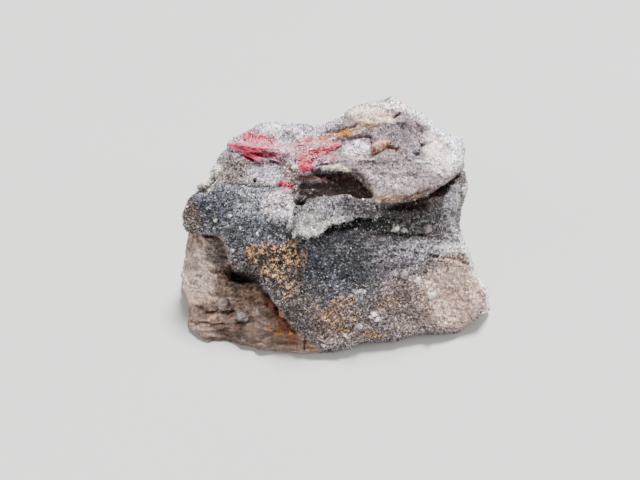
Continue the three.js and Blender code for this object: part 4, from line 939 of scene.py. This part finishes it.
def neighbours_mean(mesh, values, rounds):
    """Each vertex's values averaged with its neighbours', repeatedly."""
    ends = np.empty(len(mesh.edges) * 2, np.int64)
    mesh.edges.foreach_get("vertices", ends)
    ends = ends.reshape(-1, 2)
    count = np.bincount(ends.reshape(-1), minlength=len(values)).astype(float)
    count = np.maximum(count, 1)[:, None]
    for _ in range(rounds):
        total = np.zeros_like(values)
        for axis in range(values.shape[1]):
            total[:, axis] = np.bincount(ends[:, 0], values[ends[:, 1], axis], len(values))
            total[:, axis] += np.bincount(ends[:, 1], values[ends[:, 0], axis], len(values))
        values = 0.5 * values + 0.5 * total / count
    return values


class SPECIMEN_OT_quartz_stone(bpy.types.Operator):
    """Build the quartz stone's broken and drusy surface"""

    bl_idname = "specimen.quartz_stone"
    bl_label = "Quartz stone"

    def execute(self, context):
        settings = context.scene.specimen_stone
        rough = new_object("quartz_stone_rough", merged_copy("quartz_matrix", 1 / MM))
        remesh = rough.modifiers.new("even grid", "REMESH")
        remesh.mode = "VOXEL"
        remesh.voxel_size = settings.grid
        mesh = finished_mesh(rough, "quartz_stone")
        points = mesh_points(mesh)
        base = points[:, 2] < BASE_RISE
        soft = neighbours_mean(mesh, points, 5)
        soft[base, 2] = points[base, 2]
        set_points(mesh, soft)
        normals = mesh_normals(mesh)
        u, v, w = to_face(soft)
        view = VIEWPOINT - soft
        view /= np.linalg.norm(view, axis=1)[:, None]
        turned = (normals * view).sum(1)
        facing = ramp(-0.1, 0.2, turned) * ramp(-9.0, -6.0, w)
        behind = ramp(0.45, 0.85, -turned)
        shares = bed_shares(soft, u, v, facing)
        points = soft + normals * relief(soft, u, v, facing, behind, shares)[:, None]
        points[base] = soft[base]
        low, high = (np.array(corner) / MM for corner in CAD_BOX)
        points = np.clip(points, low - BOX_SLACK, high + BOX_SLACK)
        points[:, 2] = np.maximum(points[:, 2], low[2])
        set_points(mesh, points)
        bulge = ((points - neighbours_mean(mesh, points, 6)) * normals).sum(1)
        colour, crust, nests, gloss, banded = stone_colours(settings, soft, u, v, facing, shares, bulge)
        set_points(mesh, points * MM)
        keep_colour(mesh, "stone_colour", colour)
        cover = ramp(0.35, 0.8, crust) * (1 - ramp(0.12, 0.35, -bulge))
        for name, values in (
            ("stone_gloss", gloss), ("stone_crust", crust), ("rusty_nests", nests), ("stone_layers", banded),
            ("grain_cover", cover),
        ):
            keep_number(mesh, name, values)
        mesh.materials.clear()
        mesh.materials.append(vein_quartz(settings))
        piece = new_object("quartz_stone", mesh)
        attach(piece, "root")
        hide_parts("quartz_matrix")
        return {"FINISHED"}


# ---- Crystals set by geometry nodes ----
def start_tree(name, inputs):
    """A geometry nodes tree with one mesh output and the named inputs, each with its kind of socket."""
    tree = bpy.data.node_groups.new(name, "GeometryNodeTree")
    for label, kind in inputs.items():
        tree.interface.new_socket(label, in_out="INPUT", socket_type="NodeSocket" + kind)
    tree.interface.new_socket("Crystals", in_out="OUTPUT", socket_type="NodeSocketGeometry")
    return tree, add_node(tree, "NodeGroupInput").outputs


def end_tree(tree, instances, material):
    """Ends a tree: its instances are made real and get their material."""
    real = add_node(tree, "GeometryNodeRealizeInstances", {"Geometry": instances})
    dressed = add_node(
        tree, "GeometryNodeSetMaterial", {"Geometry": real.outputs["Geometry"], "Material": material},
    )
    add_node(tree, "NodeGroupOutput", {"Crystals": dressed.outputs["Geometry"]})
    return tree


def grain_tree(name, material, sides):
    """Geometry nodes that strew small pointed crystals over a surface, where a named number on it is high."""
    tree, given = start_tree(name, {
        "Surface": "Geometry", "Spacing": "Float", "Height": "Float", "Girth": "Float", "Cover": "Float",
        "Lean": "Float", "Milkiness": "Float", "Seed": "Int",
    })
    cover = add_node(tree, "GeometryNodeInputNamedAttribute", {"Name": "cover"}, data_type="FLOAT")
    share = add_node(tree, "ShaderNodeMath", {0: cover.outputs["Attribute"], 1: given["Cover"]}, operation="MULTIPLY")
    places = add_node(
        tree, "GeometryNodeDistributePointsOnFaces",
        {
            "Mesh": given["Surface"], "Distance Min": given["Spacing"], "Density Max": DENSEST,
            "Density Factor": share.outputs[0], "Seed": given["Seed"],
        },
        distribute_method="POISSON",
    )
    size = add_node(
        tree, "FunctionNodeRandomValue", {2: 0.5, 3: 1.45, "Seed": given["Seed"]}, data_type="FLOAT",
    )
    lean = add_node(tree, "ShaderNodeMath", {0: given["Lean"], 1: -1.0}, operation="MULTIPLY")
    low = add_node(tree, "ShaderNodeCombineXYZ", {0: lean.outputs[0], 1: lean.outputs[0], 2: 0.0})
    high = add_node(tree, "ShaderNodeCombineXYZ", {0: given["Lean"], 1: given["Lean"], 2: FULL_TURN})
    tilt = add_node(
        tree, "FunctionNodeRandomValue", {0: low.outputs[0], 1: high.outputs[0], "Seed": given["Seed"]},
        data_type="FLOAT_VECTOR",
    )
    turn = add_node(
        tree, "FunctionNodeRotateRotation",
        {"Rotation": places.outputs["Rotation"], "Rotate By": tilt.outputs["Value"]}, rotation_space="LOCAL",
    )
    point = add_node(
        tree, "GeometryNodeMeshCone",
        {"Vertices": sides, "Radius Top": 0.0, "Radius Bottom": given["Girth"], "Depth": given["Height"]},
        fill_type="NGON",
    )
    sink = add_node(tree, "ShaderNodeMath", {0: given["Height"], 1: -0.35}, operation="MULTIPLY")
    down = add_node(tree, "ShaderNodeCombineXYZ", {2: sink.outputs[0]})
    rooted = add_node(
        tree, "GeometryNodeTransform", {"Geometry": point.outputs["Mesh"], "Translation": down.outputs[0]},
    )
    grown = add_node(
        tree, "GeometryNodeInstanceOnPoints",
        {
            "Points": places.outputs["Points"], "Instance": rooted.outputs["Geometry"],
            "Rotation": turn.outputs["Rotation"], "Scale": size.outputs[1],
        },
    )
    milky = add_node(
        tree, "FunctionNodeRandomValue", {2: 0.0, 3: given["Milkiness"], "Seed": 5}, data_type="FLOAT",
    )
    toned = add_node(
        tree, "GeometryNodeStoreNamedAttribute",
        {"Geometry": grown.outputs["Instances"], "Name": "grain_tone", "Value": milky.outputs[1]},
        data_type="FLOAT", domain="INSTANCE",
    )
    return end_tree(tree, toned.outputs["Geometry"], material)


def set_inputs(modifier, values):
    """Sets a geometry nodes modifier's named inputs."""
    for item in modifier.node_group.interface.items_tree:
        if item.in_out == "INPUT" and item.name in values:
            modifier[item.identifier] = values[item.name]


def strew(name, cover, material, values, sides=6):
    """A piece of crystals strewn over the stone where the named number on it is high."""
    stone = bpy.data.objects["quartz_stone"]
    mesh = stone.data.copy()
    share = np.empty(len(mesh.vertices), np.float32)
    mesh.attributes[cover].data.foreach_get("value", share)
    keep_number(mesh, "cover", share)
    ground = new_object(name + "_ground", mesh)
    grow = ground.modifiers.new("grains", "NODES")
    grow.node_group = grain_tree(name + "_nodes", material, sides)
    set_inputs(grow, values)
    piece = new_object(name, finished_mesh(ground, name))
    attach(piece, "root")
    return piece


class SPECIMEN_OT_druse(bpy.types.Operator):
    """Strew the crust of small quartz crystals over the drusy beds"""

    bl_idname = "specimen.druse"
    bl_label = "Druse"

    def execute(self, context):
        settings = context.scene.specimen_druse
        material = grown_quartz(context.scene.specimen_stone)
        values = {
            "Spacing": settings.spacing * MM, "Height": settings.height * MM, "Girth": GRAIN_GIRTH * MM, "Cover": 1.0,
            "Lean": 0.55, "Milkiness": 1.0, "Seed": settings.seed,
        }
        piece = strew("quartz_druse", "grain_cover", material, values, sides=5)
        return {"FINISHED"}


def crystal_shape(shape, place, axis, radius):
    """Adds one six-sided quartz crystal, a short prism with a pointed end, to a bmesh."""
    axis = Vector(axis).normalized()
    side = axis.orthogonal().normalized()
    other = axis.cross(side)
    rings = []
    for height in (-radius, 0.8 * radius):
        ring = []
        for i in range(6):
            angle = math.pi * i / 3
            out = side * math.cos(angle) + other * math.sin(angle)
            ring.append(shape.verts.new(Vector(place) + axis * height + out * radius))
        rings.append(ring)
    tip = shape.verts.new(Vector(place) + axis * radius * 2.0 + side * radius * 0.12)
    shape.faces.new(list(reversed(rings[0])))
    for i in range(6):
        j = (i + 1) % 6
        shape.faces.new((rings[0][i], rings[0][j], rings[1][j], rings[1][i]))
        shape.faces.new((rings[1][i], rings[1][j], tip))


class SPECIMEN_OT_large_crystals(bpy.types.Operator):
    """Stand the larger quartz crystals on the drusy beds"""

    bl_idname = "specimen.large_crystals"
    bl_label = "Large crystals"

    def execute(self, context):
        tree = stone_surface()
        rng = np.random.default_rng(4)
        shape = bmesh.new()
        tones = []
        for u, v, radius, milk in LARGE_CRYSTALS:
            for k in range(GROUP_SIZE):
                off = rng.uniform(-1.0, 1.0, 2) * radius * min(k, 1)
                place, normal = surface_at(tree, u + off[0], v + off[1])
                size = radius * (0.75 if k == 0 else rng.uniform(0.3, 0.55))
                axis = normal + rng.normal(0, 0.5, 3)
                crystal_shape(shape, (place - 0.45 * size * normal) * MM, axis, size * MM)
                tones += [0.45 * milk if k % 2 else milk * rng.uniform(0.95, 1.1)] * CRYSTAL_POINTS
        bmesh.ops.recalc_face_normals(shape, faces=shape.faces)
        mesh = built_mesh(shape, "quartz_crystals")
        keep_number(mesh, "grain_tone", np.array(tones))
        keep_colour(mesh, "stone_colour", np.tile(linear("#D4C8C2"), (len(mesh.vertices), 1)))
        mesh.materials.append(bpy.data.materials["quartz_druse_grown"])
        piece = new_object("quartz_crystals", mesh)
        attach(piece, "root")
        return {"FINISHED"}


# ---- Erythrite ----
def needle_tree(name, material):
    """Geometry nodes that turn marked points into flattened, tapering needles."""
    tree, given = start_tree(name, {"Roots": "Geometry", "Flatness": "Float"})
    along = add_node(tree, "GeometryNodeInputNamedAttribute", {"Name": "along"}, data_type="FLOAT_VECTOR")
    girth = add_node(tree, "GeometryNodeInputNamedAttribute", {"Name": "girth"}, data_type="FLOAT")
    length = add_node(tree, "ShaderNodeVectorMath", {0: along.outputs["Attribute"]}, operation="LENGTH")
    turn = add_node(tree, "FunctionNodeAlignRotationToVector", {"Vector": along.outputs["Attribute"]}, axis="Z")
    flat = add_node(
        tree, "ShaderNodeMath", {0: girth.outputs["Attribute"], 1: given["Flatness"]}, operation="MULTIPLY",
    )
    size = add_node(
        tree, "ShaderNodeCombineXYZ",
        {0: girth.outputs["Attribute"], 1: flat.outputs[0], 2: length.outputs["Value"]},
    )
    blade = add_node(
        tree, "GeometryNodeMeshCone",
        {"Vertices": 5, "Side Segments": 2, "Radius Top": 0.12, "Radius Bottom": 0.5, "Depth": 1.0},
        fill_type="NGON",
    )
    height = add_node(tree, "GeometryNodeInputPosition")
    only = add_node(tree, "ShaderNodeSeparateXYZ", {0: height.outputs[0]})
    marked = add_node(
        tree, "GeometryNodeStoreNamedAttribute",
        {"Geometry": blade.outputs["Mesh"], "Name": "needle_reach", "Value": only.outputs["Z"]},
        data_type="FLOAT", domain="POINT",
    )
    grown = add_node(
        tree, "GeometryNodeInstanceOnPoints",
        {
            "Points": given["Roots"], "Instance": marked.outputs["Geometry"], "Rotation": turn.outputs["Rotation"],
            "Scale": size.outputs[0],
        },
    )
    return end_tree(tree, grown.outputs["Instances"], material)


def fan(tree, rng, apex, headings, reach, count, girth, tone, lift=(0.3, 0.6), start=0.0):
    """Roots, lengths, widths and tones of needles that spread from an apex between two headings, in bundles."""
    rows = []
    bundles = rng.normal(0, 0.2, BUNDLES)
    for _ in range(count):
        turn = rng.random()
        heading = math.radians(headings[0] + turn * (headings[1] - headings[0]))
        near = start + 0.7 * (reach - start) * rng.random() ** 1.2
        far = min(reach, near + (reach - start) * rng.uniform(0.16, 0.38))
        ends = []
        for along, rise in ((near, rng.uniform(-0.05, 0.12)), (far, rng.uniform(*lift))):
            at, _ = surface_at(tree, apex[0] + along * math.cos(heading), apex[1] + along * math.sin(heading))
            ends.append(at + FACE_W * rise)
        shade = np.clip(rng.normal(tone + bundles[int(turn * BUNDLES)], 0.12), -0.15, 1)
        rows.append((*ends[0], *(ends[1] - ends[0]), girth * rng.uniform(0.5, 1.25), shade))
    return rows


def tuft(tree, rng, centre, radius, count, girth, tone):
    """Roots, lengths, widths and tones of needles that radiate from one spot."""
    rows = []
    for _ in range(count):
        heading = rng.uniform(0, 2 * math.pi)
        shift = radius * 0.45 * rng.random()
        at, _ = surface_at(tree, centre[0] + shift * math.cos(heading), centre[1] + shift * math.sin(heading))
        rise = rng.uniform(0.1, 1.1)
        flat = FACE_U * math.cos(heading) + FACE_V * math.sin(heading)
        along = radius * rng.uniform(0.4, 0.8) * (flat * math.cos(rise) + FACE_W * math.sin(rise))
        shade = np.clip(rng.normal(tone, 0.2), -0.15, 1)
        rows.append((*(at + 0.1 * FACE_W), *along, girth * rng.uniform(0.5, 1.2), shade))
    return rows


def needle_height(needles, at):
    """How far the highest needle beside a spot stands off the stone there, in millimetres, or None beside none."""
    roots, along = needles[:, :3], needles[:, 3:6]
    off = at - roots
    share = np.clip((off * along).sum(1) / (along * along).sum(1), 0, 1)[:, None]
    away = roots + share * along - at
    height = away @ FACE_W
    beside = np.linalg.norm(away - height[:, None] * FACE_W, axis=1) < FROST_REACH
    return height[beside].max() if beside.any() else None


def frost(tree, rng, spot, count, girth, tone, needles):
    """Roots, lengths, widths and tones of short pale crystals strewn over a spot, on the needles or in the crust."""
    rows = []
    cos, sin = math.cos(math.radians(spot[4])), math.sin(math.radians(spot[4]))
    for _ in range(count):
        heading, out = rng.uniform(0, 2 * math.pi), math.sqrt(rng.random())
        du, dv = out * spot[2] * math.cos(heading), out * spot[3] * math.sin(heading)
        at, _ = surface_at(tree, spot[0] + du * cos - dv * sin, spot[1] + du * sin + dv * cos)
        flat = rng.uniform(0, 2 * math.pi)
        along = FACE_U * math.cos(flat) + FACE_V * math.sin(flat) + rng.uniform(0.1, 1.0) * FACE_W
        along *= rng.uniform(0.14, 0.32)
        shade = np.clip(rng.normal(tone, 0.12), 0, 1)
        share = rng.random()
        top = needle_height(needles, at)
        rise = 0.12 * share if top is None else max(top - 0.02 + 0.06 * share, 0.0)
        rows.append((*(at + rise * FACE_W), *along, girth * rng.uniform(0.8, 1.6), shade))
    return rows


def grow_needles(name, rows, material, node):
    """A piece of needles from their rows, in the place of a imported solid."""
    rows = np.array(rows)
    marks = bpy.data.meshes.new(name + "_roots")
    marks.from_pydata((rows[:, :3] * MM).tolist(), [], [])
    keep_vector(marks, "along", rows[:, 3:6] * MM)
    keep_number(marks, "girth", rows[:, 6] * MM)
    keep_number(marks, "needle_tone", rows[:, 7])
    roots = new_object(name + "_roots", marks)
    grow = roots.modifiers.new("needles", "NODES")
    grow.node_group = needle_tree(name + "_nodes", material)
    set_inputs(grow, {"Flatness": 0.55})
    piece = new_object(name, finished_mesh(roots, name))
    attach(piece, "root")
    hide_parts(node)


class SPECIMEN_OT_erythrite(bpy.types.Operator):
    """Grow the fans, tufts and rosette of erythrite needles"""

    bl_idname = "specimen.erythrite"
    bl_label = "Erythrite"

    def execute(self, context):
        settings = context.scene.specimen_erythrite
        material = erythrite(settings)
        tree = stone_surface()
        rng = np.random.default_rng(12)
        count, girth = settings.needles, settings.girth

        def fans(*sorts):
            rows = []
            for apex, headings, reach, share, tone, *rest in sorts:
                rows += fan(tree, rng, apex, headings, reach, int(count * share), girth, tone, *rest)
            return rows

        def tufts(*sorts):
            rows = []
            for centre, radius, share, tone in sorts:
                rows += tuft(tree, rng, centre, radius, int(count * share), girth * 0.8, tone)
            return rows

        def frosts(carriers, *sorts):
            rows, carriers = [], np.array(carriers)
            for spot, share, tone in sorts:
                rows += frost(tree, rng, spot, int(count * share), girth, tone, carriers)
            return rows

        left = fans(
            ((-12.8, 13.15), (-29, -7), 5.9, 1.0, 0.3),
            ((-12.7, 13.1), (-19, -4), 7.9, 0.3, 0.62, (0.25, 0.5), 3.6),
            ((-12.7, 13.3), (-12, 3), 4.8, 0.2, 0.75, (0.3, 0.5)),
            ((-12.7, 13.1), (-13, -8), 4.4, 0.07, 0.0, (0.6, 0.75)),
            ((-9.6, 12.9), (-120, -40), 2.2, 0.2, 0.38, (0.3, 0.6), 0.8),
        )
        left += tufts(((-8.2, 13.4), 0.7, 0.05, 0.75), ((-6.6, 12.7), 0.7, 0.05, 0.85), ((-9.6, 13.6), 0.6, 0.04, 0.7))
        left += frosts(
            left, ((-8.4, 13.7, 2.4, 0.8, -14), 0.3, 0.42), ((-8.4, 13.8, 2.6, 0.9, -14), 0.18, 1.0),
            ((-8.0, 12.4, 3.6, 0.9, -12), 0.24, 1.0), ((-5.2, 12.5, 1.9, 0.9, -8), 0.24, 0.9),
        )
        grow_needles("erythrite_fan_left", left, material, "erythrite_spray_left")
        right = fans(
            ((3.0, 13.1), (185, 205), 6.3, 1.0, 0.33),
            ((2.9, 13.2), (172, 188), 6.4, 0.5, 0.6),
            ((2.7, 12.8), (190, 197), 4.6, 0.06, 0.0, (0.6, 0.75)),
            ((-0.7, 10.1), (165, 208), 2.4, 0.22, 0.36),
            ((-0.8, 11.5), (172, 228), 2.2, 0.22, 0.48),
            ((-0.8, 9.7), (158, 188), 1.9, 0.12, 0.3),
        )
        right += tufts(
            ((0.3, 11.4), 0.6, 0.06, 0.85), ((1.3, 11.3), 0.6, 0.06, 0.85), ((2.0, 11.7), 0.5, 0.05, 0.6),
            ((-0.4, 10.9), 0.5, 0.04, 0.8), ((1.0, 11.9), 0.5, 0.04, 0.15), ((-3.0, 11.6), 0.6, 0.05, 0.5),
            ((-1.6, 11.0), 0.4, 0.03, 0.0), ((-2.2, 10.2), 0.35, 0.03, 0.0),
        )
        right += frosts(
            right, ((-1.2, 12.9, 3.6, 0.6, 6), 0.26, 1.0), ((-1.8, 10.9, 1.5, 1.2, 0), 0.18, 1.0),
            ((0.9, 11.4, 1.8, 0.7, 0), 0.2, 0.8), ((-3.4, 12.2, 1.2, 1.0, 0), 0.2, 0.95),
        )
        grow_needles("erythrite_fan_right", right, material, "erythrite_spray_right")
        star = fans(
            ((-4.2, 7.4), (155, 180), 1.9, 0.08, 0.05),
            ((-4.2, 7.5), (-12, 20), 1.1, 0.05, 0.0),
            ((-4.3, 7.3), (195, 345), 1.0, 0.12, 0.85),
        )
        star += tufts(((-4.3, 7.2), 0.9, 0.22, -0.2), ((-5.0, 7.6), 0.6, 0.05, 0.3))
        star += frosts(star, ((-4.3, 7.1, 1.2, 0.7, 0), 0.08, 1.0))
        grow_needles("erythrite_star", star, material, "erythrite_rosette")
        return {"FINISHED"}


class SPECIMEN_OT_stage(bpy.types.Operator):
    """Set the floor, the lights and the camera"""

    bl_idname = "specimen.stage"
    bl_label = "Stage"

    def execute(self, context):
        scene = context.scene
        bpy.ops.mesh.primitive_plane_add(size=6.0)
        floor = context.object
        floor.name = "floor"
        floor.data.materials.append(pale_floor())
        world = bpy.data.worlds.new("studio")
        world.use_nodes = True
        fill_sockets(
            world.node_tree, world.node_tree.nodes["Background"], {"Color": (1, 1, 1, 1), "Strength": 0.2},
        )
        scene.world = world
        # Each light's name, kind, place in metres, size and power. A sun's size is its angle in radians.
        lights = (
            ("key", "SUN", (0.05, 0.19, 0.30), 0.26, 10.0),
            ("front", "SUN", (-0.20, -0.30, 0.30), 0.5, 0.7),
            ("left", "AREA", (-0.30, -0.06, 0.14), 0.16, 0.4),
            ("right", "AREA", (0.32, -0.02, 0.11), 0.16, 0.8),
        )
        for name, kind, place, size, power in lights:
            light = bpy.data.lights.new(name, kind)
            if kind == "SUN":
                light.angle = size
            else:
                light.size = size
            light.energy = power
            lamp = bpy.data.objects.new(name, light)
            lamp.location = place
            aim = Vector((0, 0, 0.01)) - Vector(place)
            lamp.rotation_euler = aim.to_track_quat("-Z", "Y").to_euler()
            scene.collection.objects.link(lamp)
        # The camera looks straight at the show face, from the point that its beds splay from.
        camera = bpy.data.cameras.new("camera")
        camera.lens = 39.66
        camera.sensor_width = 36.0
        camera.clip_start = 0.005
        eye = bpy.data.objects.new("camera", camera)
        eye.location = VIEWPOINT * MM
        eye.rotation_euler = Vector(-FACE_W).to_track_quat("-Z", "Y").to_euler()
        scene.collection.objects.link(eye)
        scene.camera = eye
        return {"FINISHED"}


class SPECIMEN_PT_panel(bpy.types.Panel):
    """The specimen's sizes, colours and pieces"""

    bl_idname = "SPECIMEN_PT_panel"
    bl_label = "Erythrite on quartz"
    bl_space_type = "VIEW_3D"
    bl_region_type = "UI"
    bl_category = "Erythrite"

    def draw(self, context):
        for group in ("specimen_stone", "specimen_druse", "specimen_erythrite"):
            settings = getattr(context.scene, group)
            box = self.layout.box()
            for name in settings.__annotations__:
                box.prop(settings, name)
        for operator in PIECES:
            self.layout.operator(operator.bl_idname)


PIECES = (
    SPECIMEN_OT_quartz_stone,
    SPECIMEN_OT_druse,
    SPECIMEN_OT_large_crystals,
    SPECIMEN_OT_erythrite,
    SPECIMEN_OT_stage,
)
CLASSES = (StoneSettings, DruseSettings, ErythriteSettings, *PIECES, SPECIMEN_PT_panel)


def register():
    """Registers the settings, the operators and the panel."""
    for item in CLASSES:
        bpy.utils.register_class(item)
    bpy.types.Scene.specimen_stone = PointerProperty(type=StoneSettings)
    bpy.types.Scene.specimen_druse = PointerProperty(type=DruseSettings)
    bpy.types.Scene.specimen_erythrite = PointerProperty(type=ErythriteSettings)


def unregister():
    """Takes them away again."""
    del bpy.types.Scene.specimen_erythrite
    del bpy.types.Scene.specimen_druse
    del bpy.types.Scene.specimen_stone
    for item in reversed(CLASSES):
        bpy.utils.unregister_class(item)


def main():
    """Builds the specimen and its stage."""
    register()
    bpy.ops.specimen.quartz_stone()
    bpy.ops.specimen.druse()
    bpy.ops.specimen.large_crystals()
    bpy.ops.specimen.erythrite()
    bpy.ops.specimen.stage()


if __name__ == "__main__":
    main()
